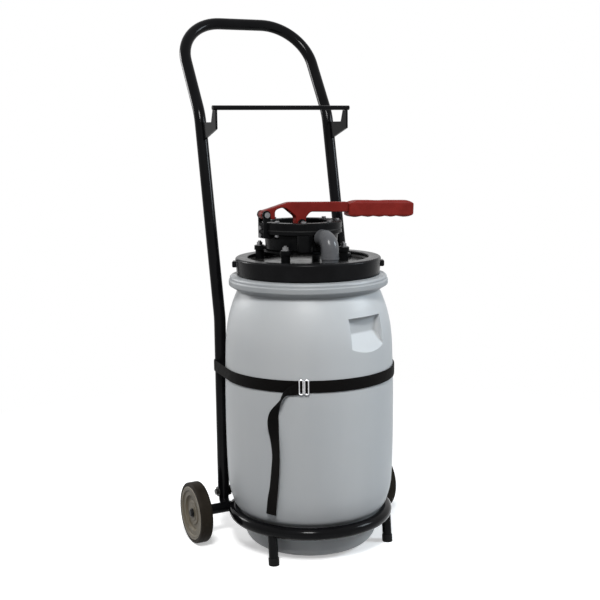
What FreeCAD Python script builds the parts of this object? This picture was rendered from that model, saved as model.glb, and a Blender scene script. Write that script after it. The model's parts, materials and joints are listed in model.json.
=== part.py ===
import FreeCAD, Part
import Sketcher
import math
import os
import re
from FreeCAD import Placement, Rotation, Vector

# Wheeled sprayer cart: a steel tube frame on two wheels and two feet carries a
# strapped barrel, and the barrel's screwed lid carries a hand-lever diaphragm pump.
# Origin: on the floor, on the barrel's axis. +Z up, front of the cart towards -Y,
# axle along X. All sizes in millimetres and degrees.

SIZES = {
    "weld_gap": 0.2,
    "seat_gap": 0.3,
    "run_gap": 0.08,
    # frame tube
    "tube_d": 28.0,
    "tube_wall": 1.8,
    "upright_gap": 1.13,
    "upright_angle": 36.006,
    "lean_low": 11.38,
    "lean_low_z": 533.0,
    "lean_high": 31.74,
    "lean_high_z": 1010.0,
    "grip_rise": 226.0,
    "bend_radius": 120.0,
    "corner_radius": 115.0,
    # hoop and feet
    "hoop_offset": 9.0,
    "hoop_z": 77.0,
    "foot_d": 22.0,
    "foot_wall": 1.8,
    "foot_angle": 33.95,
    "foot_lean": 8.0,
    "cap_wall": 1.0,
    "cap_height": 12.0,
    "cap_sole": 4.0,
    # hose hooks
    "hook_thick": 5.0,
    "hook_drop": 60.0,
    "hook_height": 68.0,
    "hook_root": 41.0,
    "hook_rise": 25.0,
    "hook_arm": 17.0,
    "hook_slant": 10.0,
    "hook_reach": 75.5,
    "bar_d": 11.0,
    "bar_inset": 4.5,
    "bar_overhang": 5.0,
    # axle and wheels
    "axle_back": 19.0,
    "axle_reach": 60.0,
    "axle_tube_d": 25.0,
    "axle_tube_inset": 4.0,
    "axle_rod_d": 14.0,
    "spacer_d": 26.0,
    "spacer_thick": 1.8,
    "hub_gap": 0.4,
    "wheel_d": 145.0,
    "wheel_width": 30.0,
    "tread": 9.5,
    "rim_lip": 3.2,
    "rim_lip_height": 6.5,
    "rim_web": 3.0,
    "rim_step": 5.0,
    "hub_d": 33.0,
    "hub_in": 17.0,
    "hub_out": 10.0,
    "bush_wall": 2.4,
    "axle_cap_d": 21.5,
    "axle_cap_len": 6.0,
    "axle_cap_wall": 1.2,
    # stubs and bolts in the uprights
    "stub_len": 46.0,
    "bolt_rise": 34.5,
    "bolt_margin": 10.0,
    "bolt_d": 8.0,
    "bolt_flats": 13.0,
    "bolt_head": 5.5,
    "bolt_spare": 3.0,
    "washer_d": 24.0,
    "washer_thick": 2.0,
    # barrel
    "barrel_radius": 197.5,
    "barrel_wall": 4.0,
    "barrel_foot_radius": 127.0,
    "barrel_foot_z": 5.0,
    "foot_round": 14.5,
    "foot_round_z": 6.5,
    "hoop_fit": 0.6,
    "shoulder_z": 608.0,
    "groove_reach": 13.0,
    "groove_rise": 12.0,
    "collar_reach": 32.5,
    "collar_tier": 10.8,
    "collar_inset": 2.5,
    "collar_height": 33.0,
    "neck_radius": 152.0,
    "neck_wall": 9.0,
    "neck_height": 28.0,
    "recess_width": 100.0,
    "recess_depth": 30.0,
    "recess_lip": 2.0,
    "recess_draft": 4.8,
    "recess_drop": 47.0,
    "recess_height": 37.0,
    "recess_ramp": 42.0,
    "recess_angle": -73.0,
    "recess_round": 9.0,
    # strap
    "strap_z": 419.8,
    "strap_width": 27.0,
    "strap_thick": 2.2,
    "buckle_angle": -120.7,
    "buckle_wire": 3.2,
    "buckle_height": 35.0,
    "buckle_length": 11.5,
    # lid
    "gasket_thick": 3.0,
    "gasket_inset": 2.0,
    "lid_rim": 5.0,
    "lid_thick": 4.0,
    "lid_drop": 6.0,
    "lid_inset": 1.0,
    "lid_plug_gap": 4.7,
    "ring_fit": 3.5,
    "ring_wall": 10.0,
    "ring_flare": 3.5,
    "ring_lip_reach": 11.0,
    "ring_lip": 5.2,
    "ring_height": 40.0,
    "ring_lug_angle": 152.6,
    "ring_lug_width": 22.0,
    "ring_lug_reach": 7.0,
    "ring_lug_height": 14.0,
    "ring_lug_rise": 16.0,
    "bung_inset": 19.94,
    "bung_angle": 11.45,
    "bung_d": 24.0,
    "bung_height": 9.0,
    "bung_stem_d": 17.0,
    "bung_stem": 14.0,
    # pump
    "pump_inset": 43.3,
    "post_edge": 0.39,
    "post_side": 20.0,
    "post_back": 26.0,
    "post_d": 21.0,
    "post_height": 21.2,
    "stud_d": 8.0,
    "stud_spare": 3.0,
    "stud_nut": 6.5,
    "stud_washer_d": 20.0,
    "stud_washer": 1.6,
    "plate_thick": 4.0,
    "plate_inset": 7.0,
    "lug_radius": 13.0,
    "lug_thick": 6.0,
    "bowl_inset": 9.0,
    "bowl_wall": 14.0,
    "bowl_floor": 5.0,
    "bowl_height": 47.0,
    "flange_thick": 8.0,
    "diaphragm_thick": 3.0,
    "clamp_height": 16.0,
    "clamp_bolt_inset": 11.0,
    "clamp_bolt_d": 6.0,
    "clamp_bolt_flats": 10.0,
    "clamp_bolt_head": 4.0,
    "clamp_nut": 5.0,
    "spanner_room": 1.2,
    "valve_x": -34.0,
    "valve_inset": 11.0,
    "valve_radius": 19.0,
    "valve_height": 36.0,
    # suction side
    "suction_x": 4.0,
    "suction_reach": 36.7,
    "elbow_d": 40.0,
    "elbow_wall": 3.5,
    "elbow_bend": 24.0,
    "elbow_drop": 14.8,
    "elbow_overlap": 8.0,
    "coupler_d": 38.0,
    "coupler_height": 13.0,
    "port_wall": 4.0,
    "pipe_d": 32.0,
    "pipe_wall": 2.4,
    "pipe_insert": 22.0,
    "pipe_low_z": 40.0,
    "strainer_d": 46.0,
    "strainer_height": 36.0,
    "strainer_grip": 10.0,
    "strainer_wall": 2.5,
    "strainer_slot": 5.0,
    "outlet_rise": 21.2,
    "outlet_d": 19.0,
    "outlet_len": 40.0,
    "outlet_bore": 11.0,
    "outlet_collar": 3.0,
    "outlet_collar_len": 7.0,
    "outlet_insert": 12.0,
    "outlet_boss": 4.0,
    "barb_depth": 2.0,
    "barb_pitch": 8.0,
    # diaphragm drive
    "drive_margin": 28.0,
    "drive_plate_thick": 3.0,
    "drive_drop": 22.8,
    "clevis_stem_d": 22.0,
    "clevis_bolt_d": 11.0,
    "clevis_base": 4.0,
    "clevis_ear": 5.0,
    "clevis_ear_width": 20.0,
    "clevis_gap": 0.7,
    "link_pin_d": 8.0,
    "link_head": 2.5,
    "link_spare": 3.0,
    "link_x": -4.0,
    "link_rise": 13.2,
    "slot_play": 0.9,
    "slot_near": 0.6,
    "slot_far": 2.2,
    # lever and its bracket
    "pivot_out": 0.5,
    "pivot_rise": 17.5,
    "pivot_pin_d": 8.0,
    "pivot_head_d": 13.0,
    "pivot_head": 4.0,
    "lever_width": 20.0,
    "lever_boss_radius": 10.5,
    "bracket_ear": 5.0,
    "bracket_plate": 7.5,
    "bracket_drop": 35.8,
    "bracket_top_gap": 0.8,
    "bracket_bolt_drop": 10.3,
    "bracket_bolt_rise": 3.7,
    "bracket_bolt_d": 6.0,
    "bracket_bolt_grip": 14.0,
    "bracket_clear": 1.5,
    "lever_rise": 26.2,
    "lever_arm": 24.0,
    "lever_leg_radius": 12.5,
    "lever_arch": 11.0,
    "lever_round": 2.5,
    "core_width": 11.0,
    "core_height": 16.0,
    "core_tip": 12.0,
    "core_root": 6.0,
    "grip_start": 125.0,
    "grip_len": 184.0,
    "lever_grip_height": 38.0,
    "lever_grip_width": 29.0,
    "lever_grip_round": 8.0,
    "wave_start": 22.0,
    "wave_end": 18.0,
    "wave_depth": 2.6,
    "lever_droop": 2.2,
}

DERIVED = {
    "tube_r": "=tube_d / 2",
    "upright_reach": "=barrel_radius + upright_gap + tube_r",
    "upright_x": "=upright_reach * cos(upright_angle)",
    "upright_y": "=upright_reach * sin(upright_angle)",
    "grip_z": "=lean_high_z + grip_rise",
    "hoop_radius": "=upright_x + hoop_offset",
    "waist_radius": "=hoop_radius - tube_r - hoop_fit",
    "axle_y": "=upright_y - axle_back",
    "axle_z": "=wheel_d / 2",
    "axle_tube_end": "=upright_x + axle_reach",
    "hoop_end_x": "=sqrt(hoop_radius ^ 2 - axle_y ^ 2)",
    "axle_tube_start": "=hoop_end_x - axle_tube_inset",
    "axle_tube_len": "=axle_tube_end - axle_tube_start",
    "wheel_x": "=axle_tube_end + spacer_thick + hub_gap + hub_in",
    "cap_start_x": "=wheel_x + hub_out + hub_gap",
    "axle_rod_len": "=cap_start_x + axle_cap_len - axle_cap_wall - seat_gap - axle_tube_start",
    "bush_bore": "=axle_rod_d / 2 + run_gap",
    "rim_d": "=wheel_d - 2 * tread",
    "rim_seat_d": "=rim_d - 2 * rim_lip_height",
    "bolt_z": "=axle_z + bolt_rise",
    "upright_low_z": "=bolt_z - bolt_margin",
    "groove_radius": "=neck_radius + groove_reach",
    "collar_radius": "=neck_radius + collar_reach",
    "collar_low_z": "=shoulder_z + groove_rise",
    "collar_high_z": "=shoulder_z + collar_height",
    "neck_top_z": "=collar_high_z + neck_height",
    "recess_high_z": "=shoulder_z - recess_drop",
    "recess_floor_z": "=recess_high_z - recess_height",
    "recess_low_z": "=recess_floor_z - recess_ramp",
    "gasket_z": "=neck_top_z + seat_gap",
    "lid_radius": "=neck_radius - lid_inset",
    "lid_floor_radius": "=neck_radius - neck_wall - lid_plug_gap",
    "lid_rim_z": "=gasket_z + gasket_thick",
    "lid_top_z": "=lid_rim_z + lid_rim",
    "lid_floor_z": "=lid_top_z - lid_drop",
    "ring_bore_radius": "=neck_radius + ring_fit",
    "ring_low_radius": "=ring_bore_radius + ring_wall",
    "ring_top_radius": "=ring_low_radius + ring_flare",
    "ring_lip_radius": "=lid_radius - ring_lip_reach",
    "ring_top_z": "=lid_top_z + seat_gap + ring_lip",
    "ring_low_z": "=ring_top_z - ring_height",
    "bung_x": "=(lid_floor_radius - bung_inset) * cos(bung_angle)",
    "bung_y": "=(lid_floor_radius - bung_inset) * sin(bung_angle)",
    "flange_radius": "=lid_floor_radius - pump_inset",
    "bowl_radius": "=flange_radius - bowl_inset",
    "bowl_bore_radius": "=bowl_radius - bowl_wall",
    "plate_radius": "=flange_radius - plate_inset",
    "clamp_bolt_radius": "=flange_radius - clamp_bolt_inset",
    "drive_plate_radius": "=bowl_bore_radius - drive_margin",
    "post_x": "=flange_radius - post_side",
    "post_y": "=flange_radius - post_back",
    "post_limit": "=lid_floor_radius - post_d / 2 - post_edge",
    "pump_y": "=sqrt(post_limit * post_limit - post_x * post_x) - post_y",
    "post_z": "=lid_floor_z + seat_gap",
    "plate_z": "=post_z + post_height",
    "bowl_z": "=plate_z + plate_thick",
    "flange_z": "=bowl_z + bowl_height",
    "clamp_z": "=flange_z + diaphragm_thick",
    "clamp_top_z": "=clamp_z + clamp_height",
    "lug_top_z": "=bowl_z + lug_thick",
    "valve_y": "=pump_y - flange_radius + valve_inset",
    "coupler_z": "=lid_floor_z + seat_gap",
    "elbow_low_z": "=coupler_z + coupler_height",
    "elbow_z": "=flange_z - elbow_drop",
    "elbow_end_y": "=pump_y - flange_radius - seat_gap",
    "suction_y": "=elbow_end_y - suction_reach",
    "port_radius": "=elbow_d / 2 - elbow_wall - weld_gap / 2",
    "outlet_z": "=bowl_z + outlet_rise",
    "outlet_stem": "=outlet_d / 2 - barb_depth - 0.5",
    "bracket_x": "=-flange_radius - seat_gap",
    "bracket_low_z": "=clamp_top_z - bracket_drop",
    "bracket_high_z": "=clamp_top_z - bracket_top_gap",
    "bracket_bolt_low_z": "=flange_z - bracket_bolt_drop",
    "bracket_bolt_high_z": "=clamp_z + bracket_bolt_rise",
    "drive_low_z": "=flange_z - drive_drop",
    "drive_high_z": "=drive_low_z + drive_plate_thick + diaphragm_thick",
    "clevis_z": "=drive_high_z + drive_plate_thick",
    "link_z": "=flange_z + link_rise",
    "pivot_x": "=-flange_radius - pivot_out",
    "pivot_z": "=clamp_top_z + pivot_rise",
    "lever_top_z": "=pivot_z + lever_rise",
    "grip_start_x": "=link_x + grip_start",
    "wave_pitch": "=(grip_len - wave_start - wave_end) / 9",
    "hook_low_z": "=lean_high_z - hook_drop",
    "hook_high_z": "=hook_low_z + hook_height",
    "hook_root_z": "=hook_low_z + hook_root",
    "hook_clear": "=(tube_r + weld_gap) / cos(lean_low)",
    "hook_root_y": "=upright_y + tan(lean_low) * (hook_low_z - lean_low_z) - hook_clear",
    "hook_root_high_y": "=hook_root_y + tan(lean_low) * hook_root",
    "hook_tip_y": "=hook_root_y - hook_reach",
}

doc = FreeCAD.newDocument("SprayerCart")
sheet = doc.addObject("Spreadsheet::Sheet", "Sizes")
for row, (alias, cell) in enumerate({**SIZES, **DERIVED}.items(), 1):
    sheet.set("A%d" % row, alias)
    sheet.set("B%d" % row, str(cell))
    sheet.setAlias("B%d" % row, alias)
doc.recompute()

NODES = []
TURNS = {
    "z": Rotation(),
    "x": Rotation(Vector(0, 1, 0), 90),
    "-x": Rotation(Vector(0, 1, 0), -90),
    "y": Rotation(Vector(1, 0, 0), -90),
}


def v(alias):
    """Value of one cell of the sheet."""
    return float(sheet.get(alias))


def linked(text):
    """Formula text with each alias pointed at the sheet."""
    known = {**SIZES, **DERIVED}

    def pointed(hit):
        word = hit.group()
        return "Sizes." + word if word in known else word

    return re.sub(r"[a-z_]+", pointed, text)


def bind(obj, **formulas):
    """Tie properties of an object to formulas over the sheet."""
    for name, text in formulas.items():
        obj.setExpression(name, linked(text))


def place(obj, at, turn="z"):
    """Put an object at three formulas, with its local Z along one of TURNS."""
    obj.Placement = Placement(Vector(), TURNS[turn])
    for axis, text in zip("xyz", at):
        obj.setExpression("Placement.Base." + axis, linked(text))


def node(obj, label=None):
    """Count an object as one finished piece."""
    obj.Label = label or obj.Name
    NODES.append(obj)
    return obj


def cylinder(name, radius, height, at, turn="z"):
    obj = doc.addObject("Part::Cylinder", name)
    bind(obj, Radius=radius, Height=height)
    place(obj, at, turn)
    return obj


def tube(name, outer, bore, height, at, turn="z"):
    """Hollow cylinder from radius formulas."""
    outside = cylinder(name + "_outer", outer, height, at, turn)
    inside = cylinder(name + "_bore", bore, height, at, turn)
    obj = doc.addObject("Part::Cut", name)
    obj.Base = outside
    obj.Tool = inside
    return obj


def plane(body, role):
    """One of a body's own origin planes."""
    return next(item for item in body.Origin.OriginFeatures if item.Role == role)


def outline_sketch(body, role, points):
    """Closed sketch on a body's plane; each corner is held by two bound distances."""
    sketch = body.newObject("Sketcher::SketchObject", body.Name + "_outline")
    sketch.AttachmentSupport = (plane(body, role), [""])
    sketch.MapMode = "FlatFace"
    spots = [Vector(value_of(a), value_of(b), 0) for a, b in points]
    count = len(spots)
    for index in range(count):
        sketch.addGeometry(Part.LineSegment(spots[index], spots[(index + 1) % count]), False)
    for index in range(count):
        sketch.addConstraint(coincident(index, (index + 1) % count))
    for index, (across, along) in enumerate(points):
        hold(sketch, "DistanceX", index, spots[index].x, across)
        hold(sketch, "DistanceY", index, spots[index].y, along)
    return sketch


def coincident(first, second):
    return Sketcher.Constraint("Coincident", first, 2, second, 1)


def hold(sketch, kind, index, value, text):
    """Distance of one corner from the sketch's origin, tied to a formula."""
    number = sketch.addConstraint(Sketcher.Constraint(kind, -1, 1, index, 1, value))
    sketch.setExpression("Constraints[%d]" % number, linked(text))


def value_of(text):
    """Number that a formula over the sheet gives now."""
    return float(sheet.evalExpression(linked(text)))


def padded(name, role, points, thickness, at):
    """PartDesign body: a closed outline padded evenly to both sides of its plane."""
    body = doc.addObject("PartDesign::Body", name)
    pad = body.newObject("PartDesign::Pad", name + "_pad")
    pad.Profile = outline_sketch(body, role, points)
    pad.Midplane = True
    pad.setExpression("Length", linked(thickness))
    place(body, at)
    return body


def shaped(name, shape, at=None):
    """Piece whose shape Part's functions make from the sheet's values."""
    obj = doc.addObject("Part::Feature", name)
    obj.Shape = shape
    obj.Placement = Placement(at, Rotation()) if at else shape.Placement
    return obj


def rounded_edges(points, radii, closed):
    """Line and arc edges through points, each corner eased by its radius."""
    count = len(points)
    starts = []
    ends = []
    arcs = []
    for index, (point, radius) in enumerate(zip(points, radii)):
        free_end = not closed and index in (0, count - 1)
        if free_end or radius == 0:
            starts.append(point)
            ends.append(point)
            arcs.append(None)
            continue
        back = (points[index - 1] - point).normalize()
        ahead = (points[(index + 1) % count] - point).normalize()
        half = back.getAngle(ahead) / 2
        reach = radius / math.tan(half)
        inward = (back + ahead).normalize()
        middle = point + inward * (radius / math.sin(half) - radius)
        starts.append(point + back * reach)
        ends.append(point + ahead * reach)
        arcs.append(middle)
    edges = []
    for index in range(count):
        if arcs[index] is not None:
            edges.append(Part.Arc(starts[index], arcs[index], ends[index]).toShape())
        if not closed and index == count - 1:
            break
        following = starts[(index + 1) % count]
        if (following - ends[index]).Length > 1e-6:
            edges.append(Part.LineSegment(ends[index], following).toShape())
    return edges


def rounded_wire(points, radii, closed=False):
    return Part.Wire(rounded_edges(points, radii, closed))


def swept(path, radius):
    """Round bar of a radius along a tangent-smooth path."""
    first = path.OrderedEdges[0]
    start = first.valueAt(first.FirstParameter)
    along = first.tangentAt(first.FirstParameter)
    if (start - path.OrderedVertexes[0].Point).Length > 1e-3:
        start = first.valueAt(first.LastParameter)
        along = first.tangentAt(first.LastParameter) * -1
    circle = Part.Wire(Part.makeCircle(radius, start, along))
    return path.makePipeShell([circle], True, True)


def bent_tube(path, radius, wall):
    return swept(path, radius).cut(swept(path, radius - wall))


def turned(points, radii):
    """Solid of revolution about Z of a closed (radius, height) outline with eased corners."""
    spots = [Vector(r, 0, z) for r, z in points]
    face = Part.Face(rounded_wire(spots, radii, True))
    return face.revolve(Vector(), Vector(0, 0, 1), 360)


def hexagon(flats, height, at, axis=Vector(0, 0, 1)):
    """Hexagonal prism by its width over flats, starting at a point along an axis."""
    reach = flats / math.sqrt(3)
    corners = [Vector(reach * math.cos(math.radians(60 * k)), reach * math.sin(math.radians(60 * k)), 0)
               for k in range(6)]
    prism = Part.Face(Part.makePolygon(corners + corners[:1])).extrude(Vector(0, 0, height))
    prism.Placement = Placement(at, Rotation(Vector(0, 0, 1), axis))
    return prism


def washer(outer, bore, thick, at, axis=Vector(0, 0, 1)):
    return Part.makeCylinder(outer, thick, at, axis).cut(Part.makeCylinder(bore, thick, at, axis))


def polar(radius, angle, z=0.0):
    return Vector(radius * math.cos(math.radians(angle)), radius * math.sin(math.radians(angle)), z)


def filleted(shape, radius, wanted):
    """Shape with the chosen edges rounded."""
    return shape.makeFillet(radius, [edge for edge in shape.Edges if wanted(edge)])


def upright_y_at(z):
    """Y of the upright's centre line at a height, bends taken as sharp."""
    low = math.tan(math.radians(v("lean_low")))
    high = math.tan(math.radians(v("lean_high")))
    if z <= v("lean_low_z"):
        return v("upright_y")
    if z <= v("lean_high_z"):
        return v("upright_y") + low * (z - v("lean_low_z"))
    return v("upright_y") + low * (v("lean_high_z") - v("lean_low_z")) + high * (z - v("lean_high_z"))


def biggest(shape):
    return max(shape.Solids, key=lambda solid: solid.Volume)


def axle_clearance():
    """Bar that copes a tube's end on the axle tube."""
    half = v("axle_tube_end")
    radius = v("axle_tube_d") / 2 + v("weld_gap")
    return Part.makeCylinder(radius, 2 * half, Vector(-half, v("axle_y"), v("axle_z")), Vector(1, 0, 0))


def handle_loop():
    """Both uprights and the grip: one tube, bent back twice, closed by a U at the top."""
    x = v("upright_x")
    heights = [v("upright_low_z"), v("lean_low_z"), v("lean_high_z"), v("grip_z")]
    right = [Vector(x, upright_y_at(z), z) for z in heights]
    left = [Vector(-spot.x, spot.y, spot.z) for spot in reversed(right)]
    bend = v("bend_radius")
    corner = v("corner_radius")
    path = rounded_wire(right + left, [0, bend, bend, corner, corner, bend, bend, 0])
    loop = bent_tube(path, v("tube_r"), v("tube_wall"))
    for side in (-1, 1):
        loop = loop.cut(bolt_hole(side))
    return biggest(loop)


def bolt_hole(side):
    start = Vector(side * (v("upright_x") - v("tube_d")), v("upright_y"), v("bolt_z"))
    return Part.makeCylinder(v("bolt_d") / 2 + v("weld_gap"), 2 * v("tube_d"), start, Vector(side, 0, 0))


def upright_stubs():
    """Bent solid pegs: each one leaves an upright's lower end and runs forward to the axle tube."""
    radius = v("tube_r") - v("tube_wall") - v("seat_gap")
    pegs = []
    for side in (-1, 1):
        x = side * v("upright_x")
        top = Vector(x, v("upright_y"), v("upright_low_z") + v("stub_len"))
        knee = Vector(x, v("upright_y"), v("upright_low_z") - v("tube_r"))
        end = Vector(x, v("axle_y"), v("axle_z"))
        peg = swept(rounded_wire([top, knee, end], [0, v("tube_r"), 0]), radius)
        pegs.append(biggest(peg.cut(axle_clearance()).cut(bolt_hole(side))))
    return Part.makeCompound(pegs)


def hoop_path():
    """Open ring round the barrel's foot, from one axle tube to the other."""
    x = v("hoop_end_x")
    z = v("hoop_z")
    front = Vector(0, -v("hoop_radius"), z)
    arc = Part.Arc(Vector(-x, v("axle_y"), z), front, Vector(x, v("axle_y"), z))
    return Part.Wire([arc.toShape()])


def base_hoop():
    hoop = bent_tube(hoop_path(), v("tube_r"), v("tube_wall"))
    wide = v("hoop_radius") + v("tube_d")
    behind = Part.makeBox(2 * wide, v("tube_d"), 2 * v("hoop_z"), Vector(-wide, v("axle_y"), 0))
    hoop = hoop.cut(axle_clearance()).cut(behind)
    clear = v("tube_r") + v("weld_gap")
    for side in (-1, 1):
        foot = Vector(side * v("upright_x"), v("upright_y"), 0)
        hoop = hoop.cut(Part.makeCylinder(clear, 2 * v("hoop_z"), foot))
    return biggest(hoop)


def foot_line(side):
    """Top point on the hoop's centre line and sole point on the floor."""
    angle = math.radians(v("foot_angle"))
    top = Vector(side * v("hoop_radius") * math.cos(angle), -v("hoop_radius") * math.sin(angle), v("hoop_z"))
    sole = Vector(top.x, top.y - v("foot_lean"), 0)
    return top, sole


def foot_tube(side):
    top, sole = foot_line(side)
    along = (sole - top).normalize()
    length = (sole - top).Length - v("cap_sole") - v("seat_gap")
    outer = Part.makeCylinder(v("foot_d") / 2, length, top, along)
    bore = Part.makeCylinder(v("foot_d") / 2 - v("foot_wall"), length, top, along)
    hoop = swept(hoop_path(), v("tube_r") + v("weld_gap"))
    rest = outer.cut(bore).cut(hoop)
    return min(rest.Solids, key=lambda solid: solid.CenterOfMass.z)


def foot_cap(side):
    """Rubber shoe over the tube's end, with a flat sole on the floor."""
    top, sole = foot_line(side)
    along = (top - sole).normalize()
    radius = v("foot_d") / 2 + v("weld_gap") + v("cap_wall")
    height = v("cap_height") + v("cap_sole")
    start = sole - along * radius
    outer = Part.makeCylinder(radius, height + radius, start, along)
    bore = Part.makeCylinder(v("foot_d") / 2 + v("weld_gap"), height, sole + along * v("cap_sole"), along)
    room = 4 * radius
    floor = Part.makeBox(room, room, room, Vector(sole.x - room / 2, sole.y - room / 2, -room))
    return outer.cut(floor).cut(bore)


def bolts_at_uprights():
    """Hexagon bolt through each upright's lower end, head outwards."""
    bolts = []
    for side in (-1, 1):
        out = Vector(side, 0, 0)
        face = v("upright_x") + v("tube_r") + v("washer_thick")
        head_at = Vector(side * face, v("upright_y"), v("bolt_z"))
        length = v("tube_d") + 2 * v("washer_thick") + v("bolt_head") + v("bolt_spare")
        shank = Part.makeCylinder(v("bolt_d") / 2, length, head_at, out * -1)
        bolts.append(hexagon(v("bolt_flats"), v("bolt_head"), head_at, out).fuse(shank))
    return Part.makeCompound(bolts)


def washers_at_uprights():
    rings = []
    bore = v("bolt_d") / 2 + v("weld_gap")
    for side in (-1, 1):
        out = Vector(side, 0, 0)
        for reach in (v("tube_r"), -v("tube_r") - v("washer_thick")):
            at = Vector(side * (v("upright_x") + reach), v("upright_y"), v("bolt_z"))
            rings.append(washer(v("washer_d") / 2, bore, v("washer_thick"), at, out))
    return Part.makeCompound(rings)


def nuts_at_uprights():
    nuts = []
    bore = v("bolt_d") / 2 + v("weld_gap") / 4
    for side in (-1, 1):
        inward = Vector(-side, 0, 0)
        x = side * (v("upright_x") - v("tube_r") - v("washer_thick"))
        at = Vector(x, v("upright_y"), v("bolt_z"))
        nut = hexagon(v("bolt_flats"), v("bolt_head"), at, inward)
        nuts.append(nut.cut(Part.makeCylinder(bore, 2 * v("bolt_head"), at, inward)))
    return Part.makeCompound(nuts)


HOOK_OUTLINE = [
    ("hook_root_y", "hook_low_z"),
    ("hook_tip_y", "hook_low_z + hook_rise"),
    ("hook_tip_y", "hook_high_z"),
    ("hook_tip_y + hook_arm", "hook_high_z"),
    ("hook_tip_y + hook_arm + hook_slant", "hook_root_z"),
    ("hook_root_high_y", "hook_root_z"),
]

# Barrel side inside the hoop: out from waist_radius, up from hoop_z.
WAIST_SIDE = [(-13.4, -52.0), (-5.6, -32.0), (-1.4, -15.0), (0.0, -1.0), (1.4, 8.0), (5.2, 14.5)]
# Just over the hoop: in from barrel_radius, up from hoop_z.
SWELL_SIDE = [(-19.5, 21.0), (-14.5, 31.0)]
# Bulge: in from barrel_radius, share of the way up from the swell to the shoulder.
BULGE_SIDE = [(-8.0, 0.047), (-2.5, 0.153), (-0.7, 0.285), (0.0, 0.476), (-0.5, 0.656), (-1.9, 0.773),
              (-5.3, 0.906)]
# Shoulder: out from groove_radius, up from shoulder_z.
SHOULDER_SIDE = [(19.5, -55.0), (6.0, -15.0)]


def barrel_side():
    """Points up the barrel's side, from its foot to the groove under the collar."""
    side = [Vector(v("waist_radius") + out, 0, v("hoop_z") + up) for out, up in WAIST_SIDE]
    side += [Vector(v("barrel_radius") + out, 0, v("hoop_z") + up) for out, up in SWELL_SIDE]
    low = side[-1].z
    high = v("shoulder_z") + SHOULDER_SIDE[0][1]
    side += [Vector(v("barrel_radius") + out, 0, low + share * (high - low)) for out, share in BULGE_SIDE]
    side += [Vector(v("groove_radius") + out, 0, v("shoulder_z") + up) for out, up in SHOULDER_SIDE]
    return side


def drawn_in(spots, inset):
    """Points moved square to their line by an inset."""
    moved = []
    for index, spot in enumerate(spots):
        before = spots[max(index - 1, 0)]
        after = spots[min(index + 1, len(spots) - 1)]
        along = (after - before).normalize()
        moved.append(spot + Vector(-along.z, 0, along.x) * inset)
    return moved


def side_edges(inset):
    """Foot, rounded edge and side of the barrel's half outline, drawn in by a wall."""
    side = barrel_side()
    if inset:
        side = drawn_in(side, inset)
    foot_z = v("barrel_foot_z") + inset
    foot = v("barrel_foot_radius") - inset / 2
    curve = Part.BSplineCurve()
    curve.interpolate(side)
    bend = Vector(foot + v("foot_round") - inset / 4, 0, foot_z + v("foot_round_z"))
    edges = [
        Part.LineSegment(Vector(0, 0, foot_z), Vector(foot, 0, foot_z)).toShape(),
        Part.Arc(Vector(foot, 0, foot_z), bend, side[0]).toShape(),
        curve.toShape(),
    ]
    return edges, side[-1]


def outer_top():
    """Corners and their radii over the shoulder: groove, two-tier collar and neck."""
    low = v("collar_low_z")
    high = v("collar_high_z")
    collar = v("collar_radius")
    inset = v("collar_inset")
    ledge = low + v("collar_tier")
    neck = v("neck_radius")
    top = v("neck_top_z")
    rows = [
        (v("groove_radius"), v("shoulder_z"), 4),
        (collar, low, 3.5),
        (collar, ledge, 1.5),
        (collar - inset, ledge + inset, 0.8),
        (collar - inset, high, 5),
        (neck, high + 2, 1.5),
        (neck, top, 2),
        (0, top, 0),
    ]
    return [Vector(radius, 0, z) for radius, z, ease in rows], [ease for radius, z, ease in rows]


def inner_top():
    """Corners and their radii of the hollow over the shoulder, open through the neck."""
    wall = v("barrel_wall")
    radius = v("neck_radius") - v("neck_wall")
    top = v("neck_top_z") + 2 * wall
    rows = [
        (v("groove_radius") - 2.5 * wall, v("shoulder_z") - wall, 10),
        (radius, v("collar_low_z") - wall, 12),
        (radius, top, 0),
        (0, top, 0),
    ]
    return [Vector(reach, 0, z) for reach, z, ease in rows], [ease for reach, z, ease in rows]


def barrel_block(inset):
    """Solid of the barrel's outside, or of its hollow where inset is the wall."""
    edges, shoulder = side_edges(inset)
    rest, radii = inner_top() if inset else outer_top()
    edges += rounded_edges([shoulder] + rest, [0] + radii, False)
    edges.append(Part.LineSegment(rest[-1], edges[0].Vertexes[0].Point).toShape())
    face = Part.Face(Part.Wire(Part.sortEdges(edges)[0]))
    return face.revolve(Vector(), Vector(0, 0, 1), 360)


def recess_block(extra):
    """Both hand recesses, grown by a wall where their inner side is wanted: a pocket over a ramp."""
    half = v("recess_width") / 2 + extra
    deep = v("barrel_radius") - v("recess_depth") - extra
    lip = v("barrel_radius") - v("recess_lip") - extra
    beyond = v("barrel_radius") + v("recess_depth")
    top = v("recess_high_z") + extra
    floor = v("recess_floor_z") - extra
    slope = (floor - v("recess_low_z")) / (lip - deep)
    side = [Vector(deep, -half, top), Vector(beyond, -half, top + v("recess_draft")),
            Vector(beyond, -half, floor - slope * (beyond - deep)), Vector(deep, -half, floor)]
    blocks = []
    for turn in (0, 180):
        block = Part.Face(Part.makePolygon(side + side[:1])).extrude(Vector(0, 2 * half, 0))
        block = filleted(block, v("recess_round") + extra / 2, lambda edge: edge.BoundBox.XMax < beyond - 1)
        block.Placement = Placement(Vector(), Rotation(Vector(0, 0, 1), v("recess_angle") + turn))
        blocks.append(block)
    return blocks


def barrel():
    outside = barrel_block(0)
    hollow = barrel_block(v("barrel_wall"))
    for block in recess_block(0):
        outside = outside.cut(block)
    for block in recess_block(v("barrel_wall")):
        hollow = hollow.cut(block)
    return outside.cut(hollow)


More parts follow.
